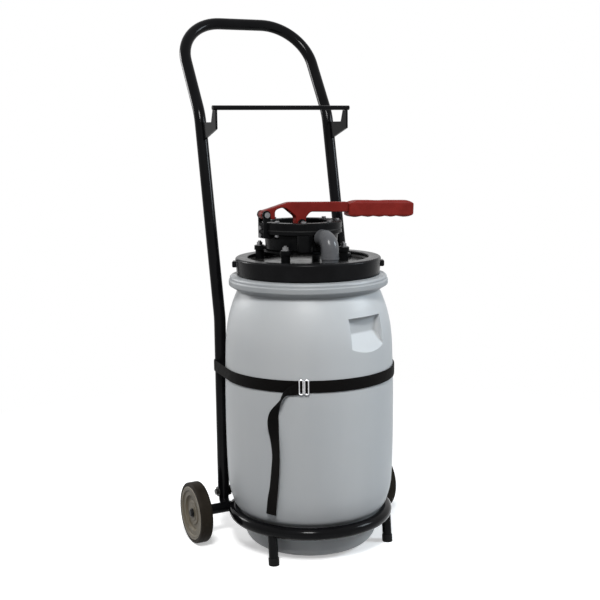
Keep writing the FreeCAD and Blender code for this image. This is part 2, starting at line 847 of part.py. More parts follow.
def barrel_parts():
    """The barrel's body and its neck, parted level at the groove under the collar."""
    whole = barrel()
    wide = v("barrel_radius") + v("barrel_wall")
    split = v("shoulder_z")
    under = Part.makeCylinder(wide, split)
    over = Part.makeCylinder(wide, split, Vector(0, 0, split))
    return biggest(whole.common(under)), biggest(whole.common(over))


def belt_face(offset):
    """Flat outline of a belt round the barrel and both uprights, grown by an offset."""
    barrel = (Vector(), v("barrel_radius") + offset)
    right = (Vector(v("upright_x"), v("upright_y"), 0), v("tube_r") + offset)
    left = (Vector(-v("upright_x"), v("upright_y"), 0), v("tube_r") + offset)
    ring = [barrel, right, barrel, left]
    normals = []
    for index in range(4):
        first, radius_a = ring[index]
        second, radius_b = ring[(index + 1) % 4]
        step = second - first
        angle = math.atan2(step.y, step.x) - math.acos((radius_a - radius_b) / step.Length)
        normals.append(math.degrees(angle))
    edges = []
    for index in range(4):
        centre, radius = ring[index]
        start = normals[index - 1]
        end = start + (normals[index] - start) % 360
        spots = [centre + polar(radius, start + (end - start) * part) for part in (0, 0.5, 1)]
        edges.append(Part.Arc(*spots).toShape())
        following, radius_b = ring[(index + 1) % 4]
        edges.append(Part.LineSegment(spots[2], following + polar(radius_b, end)).toShape())
    return Part.Face(Part.Wire(edges))


def strap_band():
    """Webbing pulled tight round the barrel and both uprights."""
    inner = v("seat_gap")
    tall = Vector(0, 0, v("strap_width"))
    band = belt_face(inner + v("strap_thick")).extrude(tall).cut(belt_face(inner).extrude(tall))
    band.translate(Vector(0, 0, v("strap_z") - v("strap_width") / 2))
    return band


def buckle_rings():
    """Two flat wire rings side by side over the webbing."""
    wire = v("buckle_wire")
    radius = v("barrel_radius") + 2 * v("seat_gap") + v("strap_thick") + wire / 2
    half_height = (v("buckle_height") - wire) / 2
    half_length = (v("buckle_length") - wire) / 2
    rings = []
    for side in (-1, 1):
        shift = side * (v("buckle_length") / 2 + v("seat_gap") / 2)
        low = shift - half_length
        high = shift + half_length
        corners = [Vector(0, low, -half_height), Vector(0, high, -half_height),
                   Vector(0, high, half_height), Vector(0, low, half_height)]
        rings.append(ring_sweep(corners, wire))
    group = Part.makeCompound(rings)
    turn = Rotation(Vector(0, 0, 1), v("buckle_angle"))
    group.Placement = Placement(turn.multVec(Vector(radius, 0, v("strap_z"))), turn)
    return group


def ring_sweep(corners, wire):
    """Closed wire ring through four corners: a bar along an open path that meets itself."""
    edges = rounded_edges(corners, [wire] * 4, True)
    path = Part.Wire(Part.sortEdges(edges)[0])
    first = path.OrderedEdges[0]
    start = first.valueAt(first.FirstParameter)
    circle = Part.Wire(Part.makeCircle(wire / 2, start, first.tangentAt(first.FirstParameter)))
    return path.makePipeShell([circle], True, False)


TAIL_STATIONS = [
    # angle, height, lift off the barrel, width direction as (up, round, out)
    (-125.6, 419.8, 4.6, (1.0, 0.0, 0.0)),
    (-129.0, 415.0, 6.0, (0.93, 0.32, 0.18)),
    (-132.3, 402.0, 9.5, (0.62, 0.50, 0.60)),
    (-135.4, 386.0, 11.0, (0.25, 0.66, 0.71)),
    (-139.4, 368.0, 9.0, (-0.10, 0.86, 0.50)),
    (-142.2, 345.0, 4.5, (-0.08, 0.98, 0.12)),
    (-141.6, 310.0, 2.8, (0.02, 1.0, 0.0)),
    (-140.4, 270.0, 2.6, (0.02, 1.0, 0.0)),
    (-140.8, 230.0, 2.6, (-0.02, 1.0, 0.0)),
    (-142.0, 190.0, 2.6, (-0.03, 1.0, 0.0)),
    (-142.9, 155.0, 2.6, (-0.02, 1.0, 0.0)),
    (-143.4, 121.0, 2.6, (0.0, 1.0, 0.0)),
]


def strap_tail():
    """Free end of the webbing: leaves the rings, twists and hangs down the barrel."""
    spots = []
    for angle, z, lift, lean in TAIL_STATIONS:
        spots.append(polar(v("barrel_radius") + lift, angle, z - TAIL_STATIONS[0][1] + v("strap_z")))
    wires = []
    for index, (angle, z, lift, lean) in enumerate(TAIL_STATIONS):
        before = spots[max(index - 1, 0)]
        after = spots[min(index + 1, len(spots) - 1)]
        along = (after - before).normalize()
        out = polar(1, angle)
        sideways = Vector(0, 0, 1).cross(out)
        width = Vector(0, 0, 1) * lean[0] - sideways * lean[1] + out * lean[2]
        width = (width - along * width.dot(along)).normalize()
        normal = along.cross(width).normalize()
        across = width * (v("strap_width") - v("strap_thick")) * 0.5
        deep = normal * (v("strap_thick") / 2)
        corners = [spots[index] + across + deep, spots[index] - across + deep,
                   spots[index] - across - deep, spots[index] + across - deep]
        wires.append(Part.makePolygon(corners + corners[:1]))
    return Part.makeLoft(wires, True, False)


def tyre():
    """Solid tyre about its own Z, seated between the rim's lips."""
    seat = v("rim_seat_d") / 2 + v("weld_gap")
    lip = v("rim_d") / 2 + v("weld_gap")
    half = v("wheel_width") / 2
    inner = half - v("rim_lip") - v("weld_gap")
    outer = v("wheel_d") / 2
    points = [(seat, -inner), (lip, -inner), (lip, -half), (outer, -half),
              (outer, half), (lip, half), (lip, inner), (seat, inner)]
    return turned(points, [0, 0, 0.8, 5, 5, 0.8, 0, 0])


def rim():
    """Moulded rim: hub, stepped web and a seat between two lips."""
    half = v("wheel_width") / 2
    lip = v("rim_d") / 2
    seat = v("rim_seat_d") / 2
    inner = half - v("rim_lip")
    hub = v("hub_d") / 2
    bore = v("bush_bore") + v("bush_wall") + v("weld_gap")
    web = v("rim_web")
    step = v("rim_step")
    rows = [
        (bore, -v("hub_in"), 0),
        (hub, -v("hub_in"), 1.5),
        (hub + web / 2, -web, 3),
        (seat - 3 * web, -web, 4),
        (seat - step, -half, 0),
        (lip, -half, 0.8),
        (lip, -inner, 0),
        (seat, -inner, 0.5),
        (seat, inner, 0.5),
        (lip, inner, 0),
        (lip, half, 0.8),
        (seat - web / 3, half, 1),
        (seat - step + 1, half - web, 1),
        (seat - 3 * step + 1, half - web, 1),
        (seat - 3 * step - 2, half - web - step, 1),
        (seat - 5 * step - 2, half - web - step, 1),
        (seat - 6 * step + 1, half - 2 * web, 0.7),
        (hub + web, half - 2 * web, 0),
        (hub + web / 2, v("hub_out"), 0.7),
        (bore, v("hub_out"), 0.5),
    ]
    return turned([(radius, z) for radius, z, ease in rows], [ease for radius, z, ease in rows])


def wheel_piece(name, shape, side):
    obj = shaped(name, shape)
    place(obj, ("%d * wheel_x" % side, "axle_y", "axle_z"), "x" if side > 0 else "-x")
    return obj


def axle_caps():
    """Push-on cap over each end of the axle rod."""
    radius = v("axle_cap_d") / 2
    length = v("axle_cap_len")
    bore = v("axle_rod_d") / 2 + v("weld_gap") / 2
    wall = v("axle_cap_wall")
    brim = length / 3
    caps = []
    for side in (-1, 1):
        cap = turned([(bore, 0), (radius, 0), (radius, brim), (radius - 2 * wall, brim),
                      (radius - 2.5 * wall, length), (0, length), (0, length - wall), (bore, length - wall)],
                     [0, 0.3, 0.3, 0.5, 2, 0, 0, 0])
        at = Vector(side * v("cap_start_x"), v("axle_y"), v("axle_z"))
        cap.Placement = Placement(at, TURNS["x" if side > 0 else "-x"])
        caps.append(cap)
    return Part.makeCompound(caps)


def screw_ring():
    low = v("ring_low_z")
    top = v("ring_top_z")
    under = top - v("ring_lip")
    points = [(v("ring_bore_radius"), low), (v("ring_low_radius"), low), (v("ring_top_radius"), top),
              (v("ring_lip_radius"), top), (v("ring_lip_radius"), under), (v("ring_bore_radius"), under)]
    ring = turned(points, [0, 1.5, 5, 2, 0, 0])
    root = v("ring_flare") + 1
    start = v("ring_top_radius") - root
    for turn in (0, 180):
        lug = Part.makeBox(v("ring_lug_reach") + root, v("ring_lug_width"), v("ring_lug_height"),
                           Vector(start, -v("ring_lug_width") / 2, low + v("ring_lug_rise")))
        lug = filleted(lug, v("ring_flare"), lambda edge: edge.BoundBox.XMin > start + 1)
        lug.Placement = Placement(Vector(), Rotation(Vector(0, 0, 1), v("ring_lug_angle") + turn))
        ring = ring.fuse(lug)
    return ring.removeSplitter()


def lid_disc():
    floor = v("lid_floor_z")
    top = v("lid_top_z")
    step = v("lid_floor_radius")
    under = v("lid_rim_z")
    wall = v("lid_rim")
    points = [(0, floor - v("lid_thick")), (step + 0.3 * wall, floor - v("lid_thick")), (step + wall, under),
              (v("lid_radius"), under), (v("lid_radius"), top), (step + wall, top), (step, floor), (0, floor)]
    disc = turned(points, [0, 1.5, 1, 0.8, 1, 1.5, 0.5, 0])
    holes = [(Vector(v("suction_x"), v("suction_y"), 0), v("pipe_d") / 2 + v("seat_gap")),
             (Vector(v("bung_x"), v("bung_y"), 0), v("bung_stem_d") / 2 + 2 * v("seat_gap"))]
    holes += [(spot, v("stud_d") / 2 + v("seat_gap")) for spot in post_spots()]
    for spot, radius in holes:
        at = raised(spot, floor - 2 * v("lid_thick"))
        disc = disc.cut(Part.makeCylinder(radius, 3 * v("lid_thick"), at))
    return disc


def bung():
    head = v("bung_d") / 2
    stem = v("bung_stem_d") / 2
    low = v("lid_floor_z") + v("seat_gap")
    top = low + v("bung_height")
    points = [(0, low - v("bung_stem")), (stem, low - v("bung_stem")), (stem, low), (head, low),
              (head, low + v("bung_height") * 0.45), (head * 0.75, top), (0, top)]
    return turned(points, [0, 2, 0, 0.5, 1, 2, 0])


def post_spots():
    """Plan positions of the four studs."""
    return [Vector(sx * v("post_x"), v("pump_y") + sy * v("post_y"), 0) for sx in (-1, 1) for sy in (-1, 1)]


def raised(spot, z):
    return Vector(spot.x, spot.y, z)


def lug_web(z, thick, core):
    """Flat lugs at the studs, tied to a round core by straight arms."""
    centre = Vector(0, v("pump_y"), z)
    web = Part.makeCylinder(core, thick, centre)
    half = v("lug_radius")
    for spot in post_spots():
        at = raised(spot, z)
        web = web.fuse(Part.makeCylinder(half, thick, at))
        along = at - centre
        arm = Part.makeBox(along.Length, 2 * half, thick, Vector(0, -half, 0))
        arm.Placement = Placement(centre, Rotation(Vector(1, 0, 0), along))
        web = web.fuse(arm)
    for spot in post_spots():
        web = web.cut(Part.makeCylinder(v("stud_d") / 2 + v("seat_gap"), thick, raised(spot, z)))
    return web.removeSplitter()


def along_y(radius, length, x, y, z):
    """Round bar from a point towards +Y."""
    return Part.makeCylinder(radius, length, Vector(x, y, z), Vector(0, 1, 0))


def bowl_body():
    """Outside of the bowl: turned body, stud lugs, valve housing, bracket pad and both bosses."""
    z = v("bowl_z")
    top = v("flange_z")
    under = top - v("flange_thick")
    y = v("pump_y")
    inside = v("bowl_bore_radius") - v("bowl_wall")
    body = turned([(0, z), (v("bowl_radius") - 3, z), (v("bowl_radius"), under),
                   (v("flange_radius"), under), (v("flange_radius"), top), (0, top)],
                  [0, 4, 3, 1, 0.8, 0])
    body.translate(Vector(0, y, 0))
    body = body.fuse(lug_web(z, v("lug_thick"), v("bowl_bore_radius")))
    foot = Vector(v("valve_x"), v("valve_y"), z + v("lug_thick") / 2)
    body = body.fuse(Part.makeCylinder(v("valve_radius"), v("valve_height"), foot))
    body = body.fuse(pad_at_bracket(v("bracket_low_z") - 1, top))
    start = v("elbow_end_y") - v("elbow_overlap")
    body = body.fuse(along_y(v("port_radius"), y - inside - start, v("suction_x"), start, v("elbow_z")))
    radius = v("outlet_d") / 2 + v("outlet_boss")
    return body.fuse(along_y(radius, v("flange_radius") - inside, 0, y + inside, v("outlet_z")))


def bowl_room():
    """All that is cut out of the bowl: its hollow, both bores and the room round its fasteners."""
    z = v("bowl_z")
    top = v("flange_z")
    y = v("pump_y")
    bore = v("bowl_bore_radius")
    start = v("elbow_end_y") - v("elbow_overlap") - 1
    radius = v("outlet_stem") + v("weld_gap") / 2
    rooms = [
        Part.makeCylinder(bore, top - z, Vector(0, y, z + v("bowl_floor"))),
        Part.makeCylinder(2 * v("flange_radius"), v("flange_radius"), Vector(0, y, top)),
        along_y(v("port_radius") - v("port_wall"), bore, v("suction_x"), start, v("elbow_z")),
        along_y(radius, v("flange_radius"), 0, y + bore - v("bowl_wall"), v("outlet_z")),
    ]
    high = 2 * (v("stud_washer") + v("stud_nut") + v("stud_spare"))
    for spot in post_spots():
        rooms.append(Part.makeCylinder(v("stud_washer_d") / 2 + 1, high, raised(spot, v("lug_top_z"))))
    under = top - v("flange_thick")
    radius = v("clamp_bolt_flats") / math.sqrt(3) + v("spanner_room")
    for spot in clamp_bolt_spots():
        hole = Part.makeCylinder(v("clamp_bolt_d") / 2 + v("seat_gap"), 3 * v("flange_thick"),
                                 raised(spot, under - v("flange_thick")))
        rooms.append(hole)
        rooms.append(Part.makeCylinder(radius, 2 * v("clamp_nut"), raised(spot, under - 2 * v("clamp_nut"))))
    return rooms + bracket_bolt_shanks(v("weld_gap") / 2)


def pump_bowl():
    """Cast bowl with its lugs, valve housing, bracket pad, inlet and outlet bosses."""
    body = bowl_body()
    for room in bowl_room():
        body = body.cut(room)
    return body.removeSplitter()


def pad_at_bracket(low, high):
    """Flat pad on the left of the flange or ring for the fulcrum bracket."""
    half = v("lever_width") / 2 + v("bracket_ear") + 1
    depth = v("flange_radius") - v("bowl_bore_radius") - 2
    return Part.makeBox(depth, 2 * half, high - low, Vector(-v("flange_radius"), v("pump_y") - half, low))


def clamp_bolt_spots():
    centre = Vector(0, v("pump_y"), 0)
    return [centre + polar(v("clamp_bolt_radius"), 22.5 + 45 * k) for k in range(8)]


def clamp_ring():
    z = v("clamp_z")
    top = v("clamp_top_z")
    ring = turned([(v("bowl_bore_radius"), z), (v("flange_radius"), z), (v("flange_radius"), top),
                   (v("bowl_bore_radius"), top)], [0, 0.8, 2.5, 2])
    ring.translate(Vector(0, v("pump_y"), 0))
    ring = ring.fuse(pad_at_bracket(z, top - 1))
    hole = v("clamp_bolt_d") / 2 + v("seat_gap")
    for spot in clamp_bolt_spots():
        ring = ring.cut(Part.makeCylinder(hole, v("clamp_height"), raised(spot, z)))
    for hole in bracket_bolt_shanks(v("weld_gap") / 2):
        ring = ring.cut(hole)
    return ring.removeSplitter()


def clamp_bolts():
    top = v("clamp_top_z")
    length = v("clamp_height") + v("diaphragm_thick") + v("flange_thick") + v("clamp_nut") + 1
    bolts = []
    for spot in clamp_bolt_spots():
        head = hexagon(v("clamp_bolt_flats"), v("clamp_bolt_head"), raised(spot, top))
        bolts.append(head.fuse(Part.makeCylinder(v("clamp_bolt_d") / 2, length, raised(spot, top - length))))
    return Part.makeCompound(bolts)


def clamp_nuts():
    z = v("flange_z") - v("flange_thick") - v("clamp_nut")
    nuts = []
    for spot in clamp_bolt_spots():
        nut = hexagon(v("clamp_bolt_flats"), v("clamp_nut"), raised(spot, z))
        bore = Part.makeCylinder(v("clamp_bolt_d") / 2 + v("weld_gap") / 4, v("clamp_nut"), raised(spot, z))
        nuts.append(nut.cut(bore))
    return Part.makeCompound(nuts)


def diaphragm():
    """Rubber diaphragm: clamped rim, rolled-down wall and a flat middle."""
    thick = v("diaphragm_thick")
    rim_z = v("flange_z")
    low = v("drive_low_z") + v("drive_plate_thick")
    middle = v("drive_plate_radius")
    bore = v("bowl_bore_radius")
    stem = v("clevis_bolt_d") / 2 + v("weld_gap")
    edge = v("flange_radius") - 1
    under = [(stem, low), (middle + 5, low), (bore - 2 * thick, rim_z), (edge, rim_z)]
    over = [(edge, rim_z + thick), (bore - 2 * thick - 2, rim_z + thick), (middle + thick, low + thick),
            (stem, low + thick)]
    disc = turned(under + over, [0, 2 * thick, 2 * thick, 0, 0, 3 * thick, thick, 0])
    disc.translate(Vector(0, v("pump_y"), 0))
    hole = v("clamp_bolt_d") / 2 + v("seat_gap")
    for spot in clamp_bolt_spots():
        disc = disc.cut(Part.makeCylinder(hole, 3 * thick, raised(spot, rim_z - thick)))
    return disc


def stud_group():
    """Four studs that tie the lid, posts, plate and bowl together."""
    beyond = v("stud_nut") + v("stud_washer") + v("stud_spare")
    low = v("lid_floor_z") - v("lid_thick") - beyond
    high = v("lug_top_z") + beyond
    return Part.makeCompound([Part.makeCylinder(v("stud_d") / 2, high - low, raised(spot, low))
                              for spot in post_spots()])


def stud_washers():
    rings = []
    bore = v("stud_d") / 2 + v("seat_gap")
    under = v("lid_floor_z") - v("lid_thick") - v("stud_washer")
    for spot in post_spots():
        for z in (v("lug_top_z"), under):
            rings.append(washer(v("stud_washer_d") / 2, bore, v("stud_washer"), raised(spot, z)))
    return Part.makeCompound(rings)


def stud_nuts():
    nuts = []
    bore = v("stud_d") / 2 + v("weld_gap") / 4
    under = v("lid_floor_z") - v("lid_thick") - v("stud_washer") - v("stud_nut")
    for spot in post_spots():
        for z in (v("lug_top_z") + v("stud_washer"), under):
            nut = hexagon(v("bolt_flats"), v("stud_nut"), raised(spot, z))
            nuts.append(nut.cut(Part.makeCylinder(bore, v("stud_nut"), raised(spot, z))))
    return Part.makeCompound(nuts)


def pump_posts():
    bore = v("stud_d") / 2 + v("seat_gap")
    return Part.makeCompound([washer(v("post_d") / 2, bore, v("post_height"), raised(spot, v("post_z")))
                              for spot in post_spots()])


def elbow():
    """Grey elbow: socket down to the coupler, socket back onto the inlet port."""
    x = v("suction_x")
    points = [Vector(x, v("suction_y"), v("elbow_low_z")), Vector(x, v("suction_y"), v("elbow_z")),
              Vector(x, v("elbow_end_y") - v("seat_gap"), v("elbow_z"))]
    path = rounded_wire(points, [0, v("elbow_bend"), 0])
    body = bent_tube(path, v("elbow_d") / 2, v("elbow_wall"))
    at = Vector(x, v("suction_y"), v("elbow_low_z"))
    bead = washer(v("elbow_d") / 2 + 1, v("elbow_d") / 2 - v("elbow_wall"), v("elbow_wall"), at)
    return body.fuse(bead).removeSplitter()


def strainer():
    """Slotted cup on the lower end of the suction pipe."""
    radius = v("strainer_d") / 2
    wall = v("strainer_wall")
    grip = v("strainer_grip")
    at = Vector(v("suction_x"), v("suction_y"), v("pipe_low_z") + grip - v("strainer_height"))
    floor = at + Vector(0, 0, wall)
    room = v("strainer_height") - wall - grip
    cup = Part.makeCylinder(radius, v("strainer_height"), at)
    cup = cup.cut(Part.makeCylinder(radius - wall, room, floor))
    cup = cup.cut(Part.makeCylinder(v("pipe_d") / 2 + v("weld_gap") / 2, v("strainer_height"), floor))
    wide = v("strainer_slot")
    for k in range(6):
        slot = Part.makeBox(radius + wall, wide, room - 2 * wide, Vector(0, -wide / 2, wall + wide))
        slot.Placement = Placement(at, Rotation(Vector(0, 0, 1), 60 * k))
        cup = cup.cut(slot)
    return cup


def outlet_spigot():
    """Hose barb on the back of the bowl."""
    radius = v("outlet_d") / 2
    stem = v("outlet_stem")
    root = radius - v("barb_depth")
    length = v("outlet_len")
    bore = v("outlet_bore") / 2
    collar = radius + v("outlet_collar")
    thick = v("outlet_collar_len")
    outline = [(bore, -v("outlet_insert")), (stem, -v("outlet_insert")), (stem, 0), (collar, 0),
               (collar, thick), (root, thick)]
    pitch = v("barb_pitch")
    for k in range(3):
        z = thick + pitch / 2 + pitch * k
        outline += [(root, z), (radius, z), (root, z + pitch - 1)]
    outline += [(root, length), (bore, length)]
    barb = turned(outline, [0] * len(outline))
    at = Vector(0, v("pump_y") + v("flange_radius") + v("seat_gap"), v("outlet_z"))
    barb.Placement = Placement(at, TURNS["y"])
    return barb


def clevis():
    """Fork on the diaphragm's plates that takes the link pin."""
    y = v("pump_y")
    x = v("link_x")
    z = v("clevis_z")
    step = v("clevis_base")
    ear_thick = v("clevis_ear")
    inner = v("lever_width") / 2 + v("clevis_gap")
    outer = inner + ear_thick
    half = v("clevis_ear_width") / 2
    web_top = v("link_z") - v("lever_leg_radius") - step
    base = Part.makeCylinder(v("clevis_stem_d") / 2, step, Vector(0, y, z))
    low = z + step / 2
    fork = base.fuse(Part.makeBox(2 * half, 2 * outer, web_top - low, Vector(x - half, y - outer, low)))
    for start in (y - outer, y + inner):
        ear = Part.makeBox(2 * half, ear_thick, v("link_z") - z - step, Vector(x - half, start, z + step))
        fork = fork.fuse(ear).fuse(along_y(half, ear_thick, x, start, v("link_z")))
    hole = along_y(v("link_pin_d") / 2 + v("run_gap"), 4 * outer, x, y - 2 * outer, v("link_z"))
    under = v("drive_low_z") - v("stud_nut")
    stem = Part.makeCylinder(v("clevis_bolt_d") / 2, z - under + 1, Vector(0, y, under))
    return fork.cut(hole).fuse(stem).removeSplitter()


def link_pin():
    """Pin with a head at the front of the fork and a short end behind it."""
    outer = v("lever_width") / 2 + v("clevis_gap") + v("clevis_ear")
    radius = v("link_pin_d") / 2
    start = v("pump_y") - outer
    pin = along_y(radius, 2 * outer + v("link_spare"), v("link_x"), start, v("link_z"))
    head = along_y(radius + v("link_head"), v("link_head"), v("link_x"), start - v("link_head"), v("link_z"))
    return pin.fuse(head).removeSplitter()


def bracket_bolt_heights():
    return (v("bracket_bolt_low_z"), v("bracket_bolt_high_z"))


def bracket_bolt_shanks(extra):
    """Shanks of the two bracket bolts, from outside into the bowl and the ring."""
    out = v("bracket_x") - v("bracket_plate")
    length = v("bracket_plate") + v("seat_gap") + v("bracket_bolt_grip")
    radius = v("bracket_bolt_d") / 2 + extra
    return [Part.makeCylinder(radius, length, Vector(out, v("pump_y"), z), Vector(1, 0, 0))
            for z in bracket_bolt_heights()]


def fulcrum_bracket():
    """Plate bolted to the ring and bowl, with two ears for the pivot pin."""
    y = v("pump_y")
    inner = v("lever_width") / 2 + v("clevis_gap")
    outer = inner + v("bracket_ear")
    out = v("bracket_x") - v("bracket_plate")
    low = v("bracket_low_z")
    high = v("bracket_high_z")
    over = v("clamp_top_z") + v("bracket_clear")
    boss = v("lever_boss_radius") - 0.5
    pivot = v("pivot_z")
    plate = Part.makeBox(v("bracket_plate"), 2 * outer, high - low, Vector(out, y - outer, low))
    outline = [(out, high - boss), (v("bracket_x"), high - boss), (v("bracket_x"), over),
               (v("pivot_x") + boss, over), (v("pivot_x") + boss, pivot), (out, pivot)]
    for start in (y - outer, y + inner):
        spots = [Vector(x, start, z) for x, z in outline]
        ear = Part.Face(Part.makePolygon(spots + spots[:1])).extrude(Vector(0, v("bracket_ear"), 0))
        eye = along_y(boss, v("bracket_ear"), v("pivot_x"), start, pivot)
        plate = plate.fuse(ear).fuse(eye)
    hole = along_y(v("pivot_pin_d") / 2 + v("run_gap"), 4 * outer, v("pivot_x"), y - 2 * outer, pivot)
    plate = plate.cut(hole)
    for shank in bracket_bolt_shanks(v("weld_gap")):
        plate = plate.cut(shank)
    return plate.removeSplitter()


def bracket_bolts():
    out = v("bracket_x") - v("bracket_plate")
    bolts = []
    for shank, z in zip(bracket_bolt_shanks(0), bracket_bolt_heights()):
        at = Vector(out, v("pump_y"), z)
        bolts.append(hexagon(v("clamp_bolt_flats"), v("clamp_bolt_head"), at, Vector(-1, 0, 0)).fuse(shank))
    return Part.makeCompound(bolts)


def pivot_pin():
    outer = v("lever_width") / 2 + v("clevis_gap") + v("bracket_ear")
    at = Vector(v("pivot_x"), v("pump_y") - outer, v("pivot_z"))
    pin = Part.makeCylinder(v("pivot_pin_d") / 2, 2 * outer + v("pivot_head"), at, Vector(0, 1, 0))
    head = Part.makeCylinder(v("pivot_head_d") / 2, v("pivot_head"), at, Vector(0, -1, 0))
    tail = washer(v("pivot_head_d") / 2, v("pivot_pin_d") / 2 - 1, v("pivot_head") - 1,
                  at + Vector(0, 2 * outer, 0), Vector(0, 1, 0))
    return pin.fuse(head).fuse(tail).removeSplitter()


def lever_top(x):
    """Height of the lever's upper edge, which droops towards the grip."""
    return v("lever_top_z") - math.tan(math.radians(v("lever_droop"))) * (x - v("link_x"))


def eye_corner(centre, radius, low, high):
    """Corner left of a circle where its two tangents from points to its right meet."""
    lines = []
    for point, side in ((low, -1), (high, 1)):
        step = centre - point
        turn = side * math.degrees(math.asin(radius / step.Length))
        lines.append((point, Rotation(Vector(0, 1, 0), turn).multVec(step)))
    (first, along), (second, other) = lines
    gap = second - first
    share = (gap.x * other.z - gap.z * other.x) / (along.x * other.z - along.z * other.x)
    return first + along * share


def lever_outline():
    """Side view corners of the lever in X and Z, and the radius that eases each."""
    px = v("pivot_x")
    boss = v("lever_boss_radius")
    low = v("pivot_z") - boss
    lx = v("link_x")
    lz = v("link_z")
    leg = v("lever_leg_radius")
    start = v("grip_start_x")
    top = lever_top(lx)
    under = v("lever_arm")
    arch = top - v("lever_arch")
    eye = eye_corner(Vector(px, 0, v("pivot_z")), boss, Vector(px + 2 * leg, 0, low - 1),
                     Vector(px + 14, 0, top - 12))
    rows = [
        (eye.x, eye.z, boss),
        (px + 2 * leg, low - 1, 3),
        (px + 2 * leg - 0.5, arch - 6, 9),
        (px + 2 * under, arch + 1.5, 22),
        (lx - leg - 1, lz + leg + 3.5, 10),
        (lx - leg, lz - leg, leg),
        (lx + leg, lz - leg, leg),
        (lx + leg, lz + leg - 0.5, 8),
        (lx + 2 * leg - 0.5, top - under, 14),
        (start, lever_top(start) - under, 0),
        (start, lever_top(start), 0),
        (lx - 30, top + 0.8, 60),
        (px + 14, top - 12, 20),
    ]
    return [(x, z) for x, z, ease in rows], [ease for x, z, ease in rows]


def lever():
    """Cast lever: eye at the pivot, arch, leg down to the link pin, arm and grip core."""
    width = v("lever_width")
    y = v("pump_y") - width / 2
    outline, radii = lever_outline()
    spots = [Vector(x, y, z) for x, z in outline]
    plate = Part.Face(rounded_wire(spots, radii, True)).extrude(Vector(0, width, 0))
    inside = v("grip_start_x") - 2
    plate = filleted(plate, v("lever_round"),
                     lambda edge: edge.BoundBox.YLength < 0.01 and edge.BoundBox.XMax < inside)
    plate = plate.fuse(grip_core(0))
    eye = along_y(v("pivot_pin_d") / 2 + v("run_gap"), 3 * width, v("pivot_x"), y - width, v("pivot_z"))
    return plate.cut(eye).cut(link_slot()).removeSplitter()


def link_slot():
    """Slot for the link pin, along the line from the pivot to the pin at rest."""
    reach = Vector(v("link_x") - v("pivot_x"), 0, v("link_z") - v("pivot_z"))
    near = reach.x - v("slot_near")
    far = reach.Length + v("slot_far")
    half = v("link_pin_d") / 2 + v("slot_play")
    deep = 2 * v("lever_width")
    along = Vector(reach).normalize()
    start = Vector(v("pivot_x"), v("pump_y") - deep / 2, v("pivot_z"))
    ends = [Part.makeCylinder(half, deep, start + along * step, Vector(0, 1, 0)) for step in (near, far)]
    angle = math.degrees(math.atan2(-reach.z, reach.x))
    box = Part.makeBox(far - near, deep, 2 * half, Vector(near, 0, -half))
    box.Placement = Placement(start, Rotation(Vector(0, 1, 0), angle))
    return box.fuse(ends[0]).fuse(ends[1])


def grip_core(extra):
    """Flat bar inside the grip, grown where the grip's hole is wanted."""
    start = v("grip_start_x")
    root = v("core_root")
    length = v("grip_len") - v("core_tip") + root
    droop = Rotation(Vector(0, 1, 0), v("lever_droop"))
    high = v("core_height") / 2 + extra
    wide = v("core_width") / 2 + extra
    bar = Part.makeBox(length + extra, 2 * wide, 2 * high, Vector(-root, -wide, -high))
    bar.Placement = Placement(Vector(start, v("pump_y"), lever_top(start) - v("lever_arm") / 2), droop)
    return bar


def grip_outline():
    """Side view of the grip from its inner end: waves for the fingers below, a crown above."""
    length = v("grip_len") - v("seat_gap")
    high = v("lever_grip_height")
    ease = v("lever_grip_round")
    first = v("wave_start")
    pitch = v("wave_pitch")
    low = [(0, 0.75 * ease), (first / 2, 0.5)]
    low += [(first + pitch * k, v("wave_depth") * (k % 2)) for k in range(9)]
    low += [(first + 9 * pitch, 0.5), (length, ease + 1)]
    top = [(length, high - ease), (length - 1.5 * ease, high - 1), (length / 2, high + 1),
           (first / 2, high - 2), (0, high - ease + 1)]
    return low, top


def grip_side():
    """Grip as its side view alone, cut straight across."""
    half = v("lever_grip_width") / 2
    low, top = ([Vector(x, -half, z) for x, z in line] for line in grip_outline())
    under = Part.BSplineCurve()
    under.interpolate(low)
    over = Part.BSplineCurve()
    over.interpolate(top)
    nose = Part.LineSegment(low[-1], top[0])
    heel = Part.LineSegment(top[-1], low[0])
    wire = Part.Wire([under.toShape(), nose.toShape(), over.toShape(), heel.toShape()])
    return Part.Face(wire).extrude(Vector(0, 2 * half, 0))


def lever_grip():
    """Moulded grip: its side view kept inside a rounded bar and a rounded plan."""
    half = v("lever_grip_width") / 2
    length = v("grip_len") - v("seat_gap")
    ease = v("lever_grip_round")
    low = -v("wave_depth") / 4
    high = v("lever_grip_height") + ease / 4
    end = [Vector(-ease, y, z) for y, z in ((-half, low), (half, low), (half, high), (-half, high))]
    bar = Part.Face(rounded_wire(end, [ease] * 4, True)).extrude(Vector(length + 2 * ease, 0, 0))
    plan = [Vector(x, y, -ease) for x, y in ((0, -half), (length, -half), (length, half), (0, half))]
    slab = Part.Face(rounded_wire(plan, [ease / 2, ease, ease, ease / 2], True))
    block = grip_side().common(bar).common(slab.extrude(Vector(0, 0, high + 2 * ease)))
    base = lever_top(v("grip_start_x")) + 2 - v("lever_grip_height")
    at = Vector(v("grip_start_x") + v("seat_gap"), v("pump_y"), base)
    block.Placement = Placement(at, Rotation(Vector(0, 1, 0), v("lever_droop")))
    return block.cut(grip_core(v("weld_gap")))


